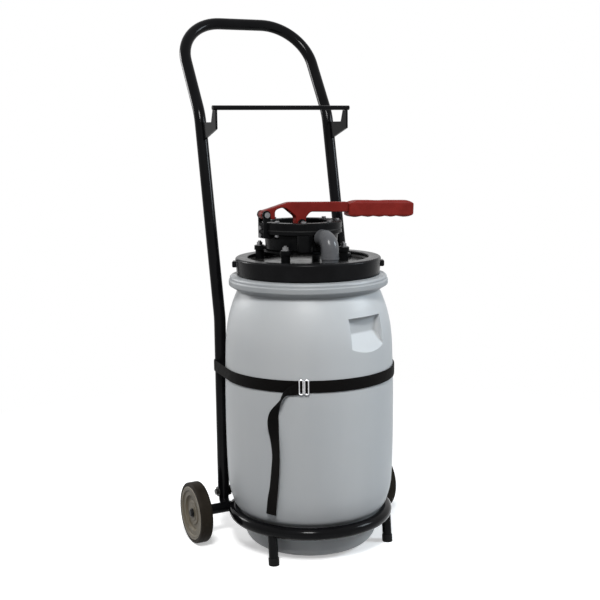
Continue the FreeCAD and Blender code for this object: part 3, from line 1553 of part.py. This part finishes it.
def build_side(side, word):
    """Pieces that each side of the frame has of its own."""
    outward = "x" if side > 0 else "-x"
    axle_start = ("%d * axle_tube_start" % side, "axle_y", "axle_z")
    axle_end = ("%d * axle_tube_end" % side, "axle_y", "axle_z")
    bore = "axle_rod_d / 2 + weld_gap"
    node(tube("axle_tube_" + word, "axle_tube_d / 2", bore, "axle_tube_len", axle_start, outward))
    node(cylinder("axle_rod_" + word, "axle_rod_d / 2", "axle_rod_len", axle_start, outward))
    node(tube("axle_spacer_" + word, "spacer_d / 2", bore, "spacer_thick", axle_end, outward))
    node(shaped("foot_tube_" + word, foot_tube(side)))
    node(shaped("foot_cap_" + word, foot_cap(side)))
    hook_at = ("%d * upright_x" % side, "0", "0")
    node(padded("hook_plate_" + word, "YZ_Plane", HOOK_OUTLINE, "hook_thick", hook_at))


def build_frame():
    node(shaped("handle_loop", handle_loop()))
    node(shaped("base_hoop", base_hoop()))
    node(shaped("upright_stubs", upright_stubs()))
    build_side(-1, "left")
    build_side(1, "right")
    half_bar = "(upright_x + hook_thick / 2 + bar_overhang)"
    bar_at = ("-" + half_bar, "hook_tip_y + bar_inset", "hook_high_z + bar_d / 2")
    node(cylinder("hose_bar", "bar_d / 2", "2 * " + half_bar, bar_at, "x"))
    node(shaped("axle_caps", axle_caps()))
    node(shaped("upright_bolts", bolts_at_uprights()))
    node(shaped("upright_washers", washers_at_uprights()))
    node(shaped("upright_nuts", nuts_at_uprights()))


def build_wheels():
    for side, word in ((-1, "left"), (1, "right")):
        node(wheel_piece("wheel_rim_" + word, rim(), side))
        node(wheel_piece("wheel_tyre_" + word, tyre(), side))
        start = "wheel_x - hub_in" if side > 0 else "-wheel_x - hub_out"
        node(tube("wheel_bush_" + word, "bush_bore + bush_wall", "bush_bore", "hub_in + hub_out",
                  (start, "axle_y", "axle_z"), "x"))


def build_barrel():
    body, neck = barrel_parts()
    node(shaped("barrel_shell", body))
    node(shaped("barrel_neck", neck))
    node(shaped("strap_band", strap_band()))
    node(shaped("strap_tail", strap_tail()))
    node(shaped("buckle_rings", buckle_rings()))


def build_lid():
    node(shaped("screw_ring", screw_ring()))
    node(shaped("lid_disc", lid_disc()))
    node(tube("lid_gasket", "lid_radius - seat_gap", "neck_radius - neck_wall + gasket_inset", "gasket_thick",
              ("0", "0", "gasket_z")))
    node(shaped("bung", bung(), Vector(v("bung_x"), v("bung_y"), 0)))


def build_pump():
    node(shaped("pump_posts", pump_posts()))
    node(shaped("pump_plate", lug_web(v("plate_z"), v("plate_thick"), v("plate_radius"))))
    node(shaped("pump_bowl", pump_bowl()))
    node(shaped("pump_studs", stud_group()))
    node(shaped("stud_washers", stud_washers()))
    node(shaped("stud_nuts", stud_nuts()))
    node(shaped("clamp_ring", clamp_ring()))
    node(shaped("clamp_bolts", clamp_bolts()))
    node(shaped("clamp_nuts", clamp_nuts()))
    node(shaped("diaphragm", diaphragm()))
    for name, z in (("drive_plate_low", "drive_low_z"), ("drive_plate_high", "drive_high_z")):
        at = ("0", "pump_y", z)
        node(tube(name, "drive_plate_radius", "clevis_bolt_d / 2 + weld_gap", "drive_plate_thick", at))
    node(shaped("clevis", clevis()))
    node(shaped("link_pin", link_pin()))
    node(shaped("fulcrum_bracket", fulcrum_bracket()))
    node(shaped("bracket_bolts", bracket_bolts()))
    node(shaped("pivot_pin", pivot_pin()))
    node(shaped("lever", lever()))
    node(shaped("lever_grip", lever_grip()))


def build_suction():
    node(shaped("elbow", elbow()))
    pipe_len = "elbow_low_z + pipe_insert - pipe_low_z"
    coupler_at = ("suction_x", "suction_y", "coupler_z")
    pipe_at = ("suction_x", "suction_y", "pipe_low_z")
    node(tube("coupler", "coupler_d / 2", "pipe_d / 2 + weld_gap / 2", "coupler_height", coupler_at))
    node(tube("suction_pipe", "pipe_d / 2", "pipe_d / 2 - pipe_wall", pipe_len, pipe_at))
    node(shaped("strainer", strainer()))
    node(shaped("outlet_spigot", outlet_spigot()))


def check():
    """Stop where any object failed or any piece has no valid solid."""
    for obj in doc.Objects:
        if "Invalid" in obj.State or "Error" in obj.State:
            raise RuntimeError("%s did not compute" % obj.Label)
    for obj in NODES:
        if obj.Shape.isNull() or not obj.Shape.isValid() or not obj.Shape.Solids:
            raise RuntimeError("%s has no valid solid" % obj.Label)


def export():
    os.makedirs("parts", exist_ok=True)
    for obj in NODES:
        obj.Shape.exportStep("parts/%s.step" % obj.Label)


build_frame()
build_wheels()
build_barrel()
build_lid()
build_pump()
build_suction()
doc.recompute()
check()
export()
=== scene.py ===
import json
import math
import bpy
import numpy as np
from mathutils import Matrix, Vector


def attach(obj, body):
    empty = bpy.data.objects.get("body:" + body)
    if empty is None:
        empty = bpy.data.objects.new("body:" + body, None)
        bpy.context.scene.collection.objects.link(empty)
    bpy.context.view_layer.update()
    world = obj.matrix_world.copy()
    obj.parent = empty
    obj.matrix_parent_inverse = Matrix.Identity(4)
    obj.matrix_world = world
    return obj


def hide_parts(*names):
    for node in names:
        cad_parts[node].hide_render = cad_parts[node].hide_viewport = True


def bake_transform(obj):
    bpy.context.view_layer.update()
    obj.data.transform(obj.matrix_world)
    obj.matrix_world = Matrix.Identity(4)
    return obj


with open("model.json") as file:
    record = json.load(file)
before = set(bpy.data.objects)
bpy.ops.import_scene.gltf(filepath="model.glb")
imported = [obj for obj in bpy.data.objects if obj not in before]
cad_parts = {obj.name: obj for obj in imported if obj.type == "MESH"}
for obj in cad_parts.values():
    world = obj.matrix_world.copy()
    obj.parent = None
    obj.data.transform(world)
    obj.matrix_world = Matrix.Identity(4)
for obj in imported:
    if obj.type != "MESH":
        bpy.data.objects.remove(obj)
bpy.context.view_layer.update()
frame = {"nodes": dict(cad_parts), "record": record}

NODES = frame["nodes"]

# Camera: its point in metres, its angles in degrees, its focal length in pixels of the picture.
EYE = (-1.1307, -2.1787, 0.9717)
YAW, PITCH, ROLL = 26.97, 9.076, -0.591
FOCAL_PX = 1066.1
PICTURE_PX = 600.0
SENSOR_MM = 36.0

# The middle of a noise texture's range, which a material spreads over its whole range of colour or gloss.
NOISE_SPAN = (0.3, 0.7)
# How much finer a hard surface's gloss varies than its colour.
GLOSS_FINENESS = 3.3
BARREL_COLOURS = ((0.430, 0.453, 0.471), (0.465, 0.483, 0.497), (0.510, 0.528, 0.537))
# Scale on the barrel plastic's colours for the neck's copy: painted shade on the collar.
NECK_PAINTED_SHADE = 0.68
# Scales of the band waves that make the strap's ribs, about 3.2 mm apart, and its picks, about 2.2 mm apart.
RIB_SCALE = 98.67615
PICK_SCALE = 143.23957
# A point on the wheels' axle, and the distances from it over which a painted highlight makes a rim's lip
# pale.
WHEEL_CENTRE = (0.0, 0.106, 0.0725)
RIM_LIP_HIGHLIGHT = (0.0605, 0.0625)

# The strap's path, in metres: the barrel, the centre and radius of an upright's tube, and the strap's own
# height, width and thickness, its clearance from what it goes round, and the spacing of its points.
BARREL_R = 0.1975
UPRIGHT = (0.172, 0.125)
TUBE_R = 0.014
STRAP_Z = 0.4198
STRAP_W = 0.027
STRAP_T = 0.0022
STRAP_CLEARANCE = 0.0003
STRAP_SPACING = 0.004
OUTLINE_POINTS = 36
TAIL_W = STRAP_W - 0.002
TAIL_STEPS = 14
# Each row of the tail: angle in degrees, height and lift off the barrel in mm, and the direction of the
# strap's width as its parts upwards, clockwise round the barrel and outwards.
TAIL = (
    (-124.5, 415.4, 4.6, 1.0, 0.0, 0.0),
    (-128.5, 411.7, 8.5, 0.92, 0.0, 0.39),
    (-131.9, 404.4, 12.0, 0.55, 0.0, 0.83),
    (-134.2, 392.3, 14.0, 0.12, -0.05, 0.99),
    (-136.7, 379.3, 14.0, 0.0, 0.23, 0.97),
    (-138.6, 366.0, 12.5, 0.0, 0.54, 0.84),
    (-139.9, 349.3, 10.5, 0.0, 0.74, 0.67),
    (-140.5, 325.3, 6.0, 0.0, 0.985, 0.17),
    (-139.6, 298.5, 6.5, 0.0, 0.966, -0.26),
    (-138.7, 263.0, 8.5, 0.0, 0.9, -0.434),
    (-139.4, 225.9, 8.0, 0.0, 0.93, -0.366),
    (-140.5, 188.4, 7.5, 0.0, 0.951, -0.31),
    (-141.8, 159.9, 7.0, 0.0, 0.986, -0.165),
    (-142.8, 125.1, 6.0, 0.0, 1.0, 0.0),
)

# Floor: half its side, the distances from the middle over which it fades to white, the glow that lifts it
# near the cart, and the colour that it bounces onto things.
FLOOR_REACH = 60.0
FLOOR_FADE = (0.6, 1.6)
FLOOR_LIFT = 0.42
FLOOR_BOUNCE = (0.16, 0.16, 0.165)
# Strength of the white surround for the rays that light things.
SURROUND_LIGHT = 0.17
# Lamps: name, place, the point it faces, side of the square in metres, power in watts, colour.
LAMPS = (
    ("key", (-1.3, -2.2, 3.0), (0, 0, 0.45), 0.8, 118, (1, 1, 1)),
    ("fill", (2.4, -1.4, 1.9), (0, 0, 0.45), 0.9, 52, (0.82, 0.92, 1.0)),
    ("back", (-1.5, 2.2, 1.6), (0, 0, 0.6), 0.8, 36, (1, 1, 1)),
)


def material(name):
    """New node material; returns it with its tree and its Principled shader."""
    mat = bpy.data.materials.new(name)
    mat.use_nodes = True
    tree = mat.node_tree
    return mat, tree, tree.nodes["Principled BSDF"]


def coords(tree, kind="Object"):
    """The piece's own coordinates of one kind."""
    return tree.nodes.new("ShaderNodeTexCoord").outputs[kind]


def noise(tree, vector, scale, detail, rough, stretch=None):
    """Noise texture; stretch scales the coordinates along X, Y and Z first."""
    if stretch:
        mapping = tree.nodes.new("ShaderNodeMapping")
        mapping.inputs["Scale"].default_value = stretch
        tree.links.new(vector, mapping.inputs["Vector"])
        vector = mapping.outputs["Vector"]
    tex = tree.nodes.new("ShaderNodeTexNoise")
    tex.inputs["Scale"].default_value = scale
    tex.inputs["Detail"].default_value = detail
    tex.inputs["Roughness"].default_value = rough
    tree.links.new(vector, tex.inputs["Vector"])
    return tex.outputs["Fac"]


def spread(tree, value, low, high, out_low, out_high):
    """Carry a value's range, low to high, over to out_low to out_high, and hold it at both ends."""
    node = tree.nodes.new("ShaderNodeMapRange")
    node.clamp = True
    for key, number in (("From Min", low), ("From Max", high), ("To Min", out_low), ("To Max", out_high)):
        node.inputs[key].default_value = number
    tree.links.new(value, node.inputs["Value"])
    return node.outputs["Result"]


def blend_colour(tree, factor, first, second):
    """Mix of two colours, each a tuple or another node's colour: the first at 0, the second at 1."""
    node = tree.nodes.new("ShaderNodeMix")
    node.data_type = "RGBA"
    tree.links.new(factor, node.inputs["Factor"])
    for socket, colour in ((node.inputs["A"], first), (node.inputs["B"], second)):
        if isinstance(colour, tuple):
            socket.default_value = (*colour, 1)
        else:
            tree.links.new(colour, socket)
    return node.outputs["Result"]


def combine(tree, operation, first, second, kind="ShaderNodeMath"):
    """Math node, or VectorMath by its kind, of another node's value and a second one or a tuple."""
    node = tree.nodes.new(kind)
    node.operation = operation
    tree.links.new(first, node.inputs[0])
    if isinstance(second, tuple):
        node.inputs[1].default_value = second
    else:
        tree.links.new(second, node.inputs[1])
    return node.outputs[0]


def distance(tree, vector):
    """Length of a vector."""
    node = tree.nodes.new("ShaderNodeVectorMath")
    node.operation = "LENGTH"
    tree.links.new(vector, node.inputs[0])
    return node.outputs["Value"]


def bump(tree, shader, height, strength, depth, onto=None):
    """Bump on the shader, over an earlier bump's normal where onto gives one; returns the new normal."""
    node = tree.nodes.new("ShaderNodeBump")
    node.inputs["Strength"].default_value = strength
    node.inputs["Distance"].default_value = depth
    tree.links.new(height, node.inputs["Height"])
    if onto:
        tree.links.new(onto, node.inputs["Normal"])
    tree.links.new(node.outputs["Normal"], shader.inputs["Normal"])
    return node.outputs["Normal"]


def sheeny(name, dark, light, rough, mottling, grain, grain_depth, metallic=0.0, rough_swing=0.12,
           specular=0.2):
    """Hard surface: two close colours mottled together, uneven gloss and a fine grain."""
    mat, tree, shader = material(name)
    at = coords(tree)
    patches = noise(tree, at, mottling, detail=5.0, rough=0.6)
    colour = blend_colour(tree, spread(tree, patches, *NOISE_SPAN, 0.0, 1.0), dark, light)
    tree.links.new(colour, shader.inputs["Base Color"])
    wear = noise(tree, at, mottling * GLOSS_FINENESS, detail=3.0, rough=0.5)
    gloss = spread(tree, wear, *NOISE_SPAN, rough - rough_swing / 2, rough + rough_swing / 2)
    tree.links.new(gloss, shader.inputs["Roughness"])
    shader.inputs["Metallic"].default_value = metallic
    shader.inputs["Specular IOR Level"].default_value = specular
    bump(tree, shader, noise(tree, at, grain, detail=2.0, rough=0.5), 0.5, grain_depth)
    return mat


def barrel_plastic(name, shade):
    """Milky blow-moulded plastic: faint upright streaks, a soft sheen, light inside it; shade darkens it, as
    painted shade.
    """
    mat, tree, shader = material(name)
    at = coords(tree)
    streaks = noise(tree, at, 9.0, detail=4.0, rough=0.5, stretch=(1.0, 1.0, 0.12))
    clouds = noise(tree, at, 4.0, detail=3.0, rough=0.5)
    cloudy, clear, streak = (tuple(shade * part for part in colour) for colour in BARREL_COLOURS)
    base = blend_colour(tree, spread(tree, clouds, *NOISE_SPAN, 0.0, 1.0), cloudy, clear)
    colour = blend_colour(tree, spread(tree, streaks, 0.35, 0.75, 0.0, 0.5), base, streak)
    tree.links.new(colour, shader.inputs["Base Color"])
    tree.links.new(spread(tree, clouds, 0.2, 0.8, 0.36, 0.5), shader.inputs["Roughness"])
    shader.inputs["Subsurface Weight"].default_value = 0.25
    shader.inputs["Subsurface Radius"].default_value = (0.02, 0.022, 0.025)
    shader.inputs["Subsurface Scale"].default_value = 1.0
    shader.inputs["Specular IOR Level"].default_value = 0.35
    dimples = bump(tree, shader, noise(tree, at, 260.0, detail=2.0, rough=0.5), 0.35, 0.0002)
    waves = noise(tree, at, 14.0, detail=2.0, rough=0.5, stretch=(1.0, 1.0, 0.4))
    bump(tree, shader, waves, 0.25, 0.0015, dimples)
    return mat


def webbing():
    """Woven strap: ribs along it, fine picks across it, dark brown-black yarn with a soft sheen."""
    mat, tree, shader = material("strap_webbing")
    at = coords(tree, "UV")
    waves = []
    for axis, scale in (("Y", RIB_SCALE), ("X", PICK_SCALE)):
        wave = tree.nodes.new("ShaderNodeTexWave")
        wave.wave_type = "BANDS"
        wave.bands_direction = axis
        wave.inputs["Scale"].default_value = scale
        wave.inputs["Distortion"].default_value = 0.6
        wave.inputs["Detail"].default_value = 1.0
        tree.links.new(at, wave.inputs["Vector"])
        waves.append(wave.outputs["Fac"])
    weave = combine(tree, "MULTIPLY", *waves)
    fuzz = noise(tree, at, 60.0, detail=4.0, rough=0.6)
    yarn = blend_colour(tree, weave, (0.0010, 0.0009, 0.0009), (0.0036, 0.0031, 0.0028))
    colour = blend_colour(tree, spread(tree, fuzz, 0.4, 0.8, 0.0, 0.5), yarn, (0.0055, 0.0046, 0.0042))
    tree.links.new(colour, shader.inputs["Base Color"])
    tree.links.new(spread(tree, fuzz, *NOISE_SPAN, 0.62, 0.8), shader.inputs["Roughness"])
    shader.inputs["Specular IOR Level"].default_value = 0.05
    bump(tree, shader, weave, 0.6, 0.0004)
    return mat


def rim_plastic():
    """Dark moulded rim, paler along both lips by a painted highlight, by the distance from the axle's line.
    """
    mat, tree, shader = material("rim_plastic")
    at = coords(tree)
    patches = noise(tree, at, 26.0, detail=4.0, rough=0.6)
    plain = blend_colour(tree, patches, (0.088, 0.075, 0.052), (0.128, 0.110, 0.078))
    centred = combine(tree, "SUBTRACT", at, WHEEL_CENTRE, "ShaderNodeVectorMath")
    flat = combine(tree, "MULTIPLY", centred, (0.0, 1.0, 1.0), "ShaderNodeVectorMath")
    # Painted highlight: the rim's colour turns pale from the lip's inner radius outwards.
    lip_highlight = spread(tree, distance(tree, flat), *RIM_LIP_HIGHLIGHT, 0.0, 1.0)
    colour = blend_colour(tree, lip_highlight, plain, (0.300, 0.270, 0.215))
    tree.links.new(colour, shader.inputs["Base Color"])
    tree.links.new(spread(tree, patches, *NOISE_SPAN, 0.42, 0.55), shader.inputs["Roughness"])
    shader.inputs["Specular IOR Level"].default_value = 0.2
    bump(tree, shader, noise(tree, at, 600.0, detail=2.0, rough=0.5), 0.5, 0.00008)
    return mat


def look_camera():
    """Camera at EYE, yaw right of +Y, pitch down, then rolled."""
    yaw, pitch, roll = (math.radians(angle) for angle in (YAW, PITCH, ROLL))
    ahead = Vector((math.sin(yaw) * math.cos(pitch), math.cos(yaw) * math.cos(pitch), -math.sin(pitch)))
    right = Vector((math.cos(yaw), -math.sin(yaw), 0))
    up = right.cross(ahead)
    right, up = right * math.cos(roll) + up * math.sin(roll), up * math.cos(roll) - right * math.sin(roll)
    data = bpy.data.cameras.new("camera")
    data.sensor_width = SENSOR_MM
    data.lens = SENSOR_MM * FOCAL_PX / PICTURE_PX
    camera = bpy.data.objects.new("camera", data)
    turn = Matrix((right, up, -ahead)).transposed()
    camera.matrix_world = Matrix.Translation(EYE) @ turn.to_4x4()
    bpy.context.scene.collection.objects.link(camera)
    bpy.context.scene.camera = camera


def mesh_object(name, points, faces, uvs, mat):
    """Smooth mesh from arrays, with one UV pair per face corner."""
    mesh = bpy.data.meshes.new(name)
    mesh.from_pydata(points, [], faces)
    layer = mesh.uv_layers.new(name="UVMap")
    layer.data.foreach_set("uv", np.asarray(uvs, np.float32).ravel())
    mesh.polygons.foreach_set("use_smooth", [True] * len(mesh.polygons))
    mesh.materials.append(mat)
    mesh.update()
    obj = bpy.data.objects.new(name, mesh)
    bpy.context.scene.collection.objects.link(obj)
    return obj


def section(width):
    """Closed outline of a woven strap: flat faces, round edges, slightly crowned.

    Points run round a superellipse |x/a|^6 + |y/b|^2 = 1 with a half the width and b half the thickness.
    """
    angles = np.linspace(0, 2 * math.pi, OUTLINE_POINTS, endpoint=False)
    across = np.sign(np.cos(angles)) * np.abs(np.cos(angles)) ** (1 / 3)
    return np.stack([across * width / 2, np.sin(angles) * STRAP_T / 2], 1)


def strap_mesh(name, centres, widths, normals, closed, width):
    """Sweep the strap's outline along centres; an open strap gets a face over each end.

    Each point is its centre, plus the outline's x along the width direction, plus its y along the normal.
    U is the length along the strap, and V is the outline's x.
    """
    outline = section(width)
    count, around = len(centres), len(outline)
    across, through = outline[None, :, :1], outline[None, :, 1:]
    points = centres[:, None] + widths[:, None] * across + normals[:, None] * through
    step = np.linalg.norm(np.diff(centres, axis=0, append=centres[:1]), axis=1)
    along = np.concatenate([[0], np.cumsum(step)])
    row, side = np.meshgrid(np.arange(count if closed else count - 1), np.arange(around), indexing="ij")
    here, there, following = row * around, (row + 1) % count * around, (side + 1) % around
    quads = np.stack([here + side, there + side, there + following, here + following], -1)
    u = along[np.stack([row, row + 1, row + 1, row], -1)]
    v = outline[np.stack([side, side, following, following], -1), 0]
    faces, uvs = quads.reshape(-1, 4).tolist(), [np.stack([u, v], -1).reshape(-1, 2)]
    if not closed:
        for end, order in ((0, 1), (count - 1, -1)):
            cap = np.arange(around)[::order]
            faces.append((end * around + cap).tolist())
            uvs.append(np.column_stack([np.full(around, along[end]), outline[cap, 0]]))
    return mesh_object(name, points.reshape(-1, 3), faces, np.concatenate(uvs), MATERIALS["webbing"])


def belt_line(offset):
    """Closed line at an offset round the barrel and both uprights, with its outward directions.

    A tangent leaves each circle at the heading to the next one, less the arc cosine of the difference of
    their radii over their distance. An arc runs on each circle between the two tangents that touch it.
    """
    centres = np.array([(0, 0), UPRIGHT, (0, 0), (-UPRIGHT[0], UPRIGHT[1])])
    radii = np.array([BARREL_R, TUBE_R, BARREL_R, TUBE_R]) + offset
    to_next = np.roll(centres, -1, axis=0) - centres
    heading = np.arctan2(to_next[:, 1], to_next[:, 0])
    leave = heading - np.arccos((radii - np.roll(radii, -1)) / np.hypot(to_next[:, 0], to_next[:, 1]))
    spots, outs = [], []
    for index in range(4):
        turn = (leave[index] - leave[index - 1]) % (2 * math.pi)
        steps = max(6, int(turn * radii[index] / STRAP_SPACING))
        angles = leave[index - 1] + turn * np.arange(steps + 1) / steps
        arc_outs = np.column_stack([np.cos(angles), np.sin(angles)])
        arc = centres[index] + radii[index] * arc_outs
        following = (index + 1) % 4
        run = centres[following] + radii[following] * arc_outs[-1] - arc[-1]
        parts = max(1, int(math.hypot(*run) / (2 * STRAP_SPACING)))
        spots += [arc, arc[-1] + run * np.arange(1, parts)[:, None] / parts]
        outs += [arc_outs, np.tile(arc_outs[-1], (parts - 1, 1))]
    return np.vstack(spots), np.vstack(outs)


def strap_band():
    """Level band round the barrel and the uprights, its width upright and its normal outwards."""
    spots, outs = belt_line(STRAP_CLEARANCE + STRAP_T / 2)
    count = len(spots)
    centres = np.column_stack([spots, np.full(count, STRAP_Z)])
    widths = np.tile((0.0, 0.0, 1.0), (count, 1))
    normals = np.column_stack([outs, np.zeros(count)])
    obj = strap_mesh("strap_webbing_band", centres, widths, normals, True, STRAP_W)
    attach(obj, "frame")
    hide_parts("strap_band")


def smooth_through(rows):
    """Curve through rows of numbers, with TAIL_STEPS points to a span.

    Between b and c, with a before and d after, it is half of 2b + (c - a)t + (2a - 5b + 4c - d)t^2
    + (3b - 3c + d - a)t^3, for t from 0 to 1. Past each end the rows go on in a straight line.
    """
    padded = np.vstack([2 * rows[0] - rows[1], rows, 2 * rows[-1] - rows[-2]])
    a, b, c, d = (padded[first:first + len(rows) - 1, None] for first in range(4))
    t = (np.arange(TAIL_STEPS) / TAIL_STEPS)[None, :, None]
    curve = 0.5 * (2 * b + (c - a) * t + (2 * a - 5 * b + 4 * c - d) * t ** 2
                   + (3 * b - 3 * c + d - a) * t ** 3)
    return np.vstack([curve.reshape(-1, rows.shape[1]), rows[-1]])


def strap_tail():
    """Loose end of the strap: each row of TAIL gives a point off the barrel and the way its width runs.

    The width direction is made square to the path, and the normal is the cross product of the two.
    """
    angle, height, lift, upwards, clockwise, outwards = np.array(TAIL).T[:, :, None]
    turn = np.radians(angle)
    up = np.array((0.0, 0.0, 1.0))
    out = np.hstack([np.cos(turn), np.sin(turn), np.zeros_like(turn)])
    sideways = np.cross(up, out)
    spots = out * (BARREL_R + lift / 1000) + up * height / 1000
    curve = smooth_through(np.hstack([spots, up * upwards - sideways * clockwise + out * outwards]))
    centres, leans = curve[:, :3], curve[:, 3:]
    ahead = np.gradient(centres, axis=0)
    ahead /= np.linalg.norm(ahead, axis=1)[:, None]
    widths = leans - ahead * (leans * ahead).sum(1)[:, None]
    widths /= np.linalg.norm(widths, axis=1)[:, None]
    obj = strap_mesh("strap_webbing_tail", centres, widths, np.cross(ahead, widths), False, TAIL_W)
    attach(obj, "frame")
    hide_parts("strap_tail")


def read(items, field, width, kind=np.float32):
    """One field of a mesh's items as an array, with a row of the given width for each item."""
    values = np.empty(width * len(items), kind)
    items.foreach_get(field, values)
    return values.reshape(-1, width)


def diaphragm_rubber():
    """The diaphragm's rubber: at rest its solid's own surface and normals, with the loose triangles merged.
    """
    solid = NODES["diaphragm"].data
    corners = read(solid.loops, "vertex_index", 1, np.int32)
    spots, merged = np.unique(read(solid.vertices, "co", 3), axis=0, return_inverse=True)
    mesh = bpy.data.meshes.new("diaphragm_rubber")
    mesh.from_pydata(spots, [], merged.ravel()[corners].reshape(-1, 3))
    mesh.polygons.foreach_set("use_smooth", [True] * len(mesh.polygons))
    mesh.normals_split_custom_set(read(solid.corner_normals, "vector", 3).tolist())
    mesh.materials.append(MATERIALS["seal_rubber"])
    obj = bpy.data.objects.new("diaphragm_rubber", mesh)
    bpy.context.scene.collection.objects.link(obj)
    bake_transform(obj)
    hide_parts("diaphragm")


def seen_rays(tree):
    """1 for camera, glossy and transmission rays, 0 for the rays that light things."""
    path = tree.nodes.new("ShaderNodeLightPath")
    total = path.outputs["Is Camera Ray"]
    for name in ("Is Glossy Ray", "Is Transmission Ray"):
        total = combine(tree, "MAXIMUM", total, path.outputs[name])
    return total


def floor_material():
    """Pale matt floor that turns plain white away from the cart; it bounces less light than it shows."""
    mat, tree, shader = material("floor")
    at = coords(tree)
    seen = seen_rays(tree)
    far = distance(tree, at)
    near = spread(tree, far, *FLOOR_FADE, 1.0, 0.0)
    white = spread(tree, far, *FLOOR_FADE, FLOOR_LIFT, 1.0)
    shade = noise(tree, at, 3.0, detail=3.0, rough=0.5)
    pale = blend_colour(tree, shade, (0.90, 0.90, 0.90), (0.92, 0.92, 0.92))
    fading = blend_colour(tree, near, (0.0, 0.0, 0.0), pale)
    tree.links.new(blend_colour(tree, seen, FLOOR_BOUNCE, fading), shader.inputs["Base Color"])
    shader.inputs["Emission Color"].default_value = (1, 1, 1, 1)
    tree.links.new(combine(tree, "MULTIPLY", white, seen), shader.inputs["Emission Strength"])
    shader.inputs["Roughness"].default_value = 1.0
    shader.inputs["Specular IOR Level"].default_value = 0.0
    return mat


def area_light(name, place, toward, size, power, colour):
    """Square lamp at a place, facing a point."""
    data = bpy.data.lights.new(name, "AREA")
    data.size = size
    data.energy = power
    data.color = colour
    light = bpy.data.objects.new(name, data)
    aim = (Vector(toward) - Vector(place)).to_track_quat("-Z", "Y")
    light.matrix_world = Matrix.Translation(place) @ aim.to_matrix().to_4x4()
    bpy.context.scene.collection.objects.link(light)


def studio():
    """Pale floor under the cart, three lamps above it and a white surround that lights it faintly."""
    low, high = -FLOOR_REACH, FLOOR_REACH
    corners = [(low, low, 0), (high, low, 0), (high, high, 0), (low, high, 0)]
    square = [(0, 0), (1, 0), (1, 1), (0, 1)]
    floor = mesh_object("studio_floor", corners, [(0, 1, 2, 3)], square, floor_material())
    for lamp in LAMPS:
        area_light(*lamp)
    world = bpy.data.worlds.new("studio")
    bpy.context.scene.world = world
    world.use_nodes = True
    tree = world.node_tree
    back = tree.nodes["Background"]
    back.inputs["Color"].default_value = (1, 1, 1, 1)
    strength = spread(tree, seen_rays(tree), 0.0, 1.0, SURROUND_LIGHT, 1.0)
    tree.links.new(strength, back.inputs["Strength"])


# One finish for each material slot of the record.
MATERIALS = {
    "black_steel": sheeny("black_paint", (0.0022, 0.0022, 0.0026), (0.0048, 0.0048, 0.0054), rough=0.13,
                          mottling=12, grain=260, grain_depth=0.00002, rough_swing=0.05, specular=0.065),
    "zinc_steel": sheeny("zinc_plate", (0.15, 0.15, 0.155), (0.27, 0.27, 0.275), rough=0.34,
                         mottling=90, grain=1500, grain_depth=0.00003, metallic=1.0),
    "foot_rubber": sheeny("foot_rubber", (0.003, 0.003, 0.003), (0.007, 0.007, 0.007), rough=0.5,
                          mottling=40, grain=900, grain_depth=0.0001, specular=0.1),
    "tyre": sheeny("tyre_rubber", (0.0115, 0.0092, 0.0066), (0.0200, 0.0160, 0.0118), rough=0.6,
                   mottling=30, grain=700, grain_depth=0.00015, specular=0.07),
    "rim_plastic": rim_plastic(),
    "barrel_plastic": barrel_plastic("barrel_plastic", 1.0),
    "webbing": webbing(),
    "ring_plastic": sheeny("ring_plastic", (0.0040, 0.0040, 0.0045), (0.0080, 0.0080, 0.0087), rough=0.24,
                           mottling=20, grain=300, grain_depth=0.00004, rough_swing=0.08, specular=0.05),
    "lid_plastic": sheeny("lid_plastic", (0.014, 0.014, 0.0137), (0.024, 0.0237, 0.0228), rough=0.18,
                          mottling=14, grain=260, grain_depth=0.00004, rough_swing=0.1, specular=0.09),
    "seal_rubber": sheeny("seal_rubber", (0.006, 0.006, 0.006), (0.014, 0.014, 0.014), rough=0.6,
                          mottling=40, grain=700, grain_depth=0.0001),
    "pump_casting": sheeny("pump_casting", (0.0020, 0.0021, 0.0023), (0.0056, 0.0058, 0.0063), rough=0.3,
                           mottling=45, grain=420, grain_depth=0.00015, rough_swing=0.14, specular=0.045),
    "grey_plastic": sheeny("elbow_plastic", (0.072, 0.074, 0.079), (0.102, 0.104, 0.110), rough=0.26,
                           mottling=16, grain=400, grain_depth=0.00005, rough_swing=0.08),
    "black_plastic": sheeny("black_plastic", (0.004, 0.004, 0.004), (0.009, 0.009, 0.009), rough=0.45,
                            mottling=30, grain=700, grain_depth=0.0001, specular=0.1),
    "lever_red": sheeny("lever_red", (0.118, 0.0080, 0.0055), (0.160, 0.0125, 0.0090), rough=0.4,
                        mottling=30, grain=500, grain_depth=0.0002, specular=0.1),
    "grip_red": sheeny("grip_red", (0.140, 0.0098, 0.0068), (0.186, 0.0155, 0.0112), rough=0.46,
                       mottling=35, grain=420, grain_depth=0.00025, specular=0.1),
}
DARK_ZINC = sheeny("dark_zinc", (0.045, 0.044, 0.042), (0.085, 0.083, 0.080), rough=0.42,
                   mottling=90, grain=1500, grain_depth=0.00003, metallic=1.0)
BRIGHT_WIRE = sheeny("bright_wire", (0.50, 0.50, 0.51), (0.70, 0.70, 0.71), rough=0.25,
                     mottling=90, grain=1500, grain_depth=0.00003, metallic=1.0)
# Nodes whose finish differs from the rest of their slot; the barrel's neck gets a darker copy of the barrel
# plastic as painted shade.
REPAINTED = {
    "axle_caps": MATERIALS["black_plastic"],
    "upright_bolts": DARK_ZINC,
    "upright_washers": DARK_ZINC,
    "upright_nuts": DARK_ZINC,
    "buckle_rings": BRIGHT_WIRE,
    # Painted shade: the neck gets the barrel plastic with its colours scaled down.
    "barrel_neck": barrel_plastic("collar_painted_shade", NECK_PAINTED_SHADE),
}

for part in frame["record"]["subparts"]:
    slots = NODES[part["node"]].data.materials
    for index in range(len(slots)):
        slots[index] = REPAINTED.get(part["node"], MATERIALS[part["material_slot"]])

look_camera()
strap_band()
strap_tail()
diaphragm_rubber()
studio()
bpy.context.scene.view_settings.view_transform = "Standard"
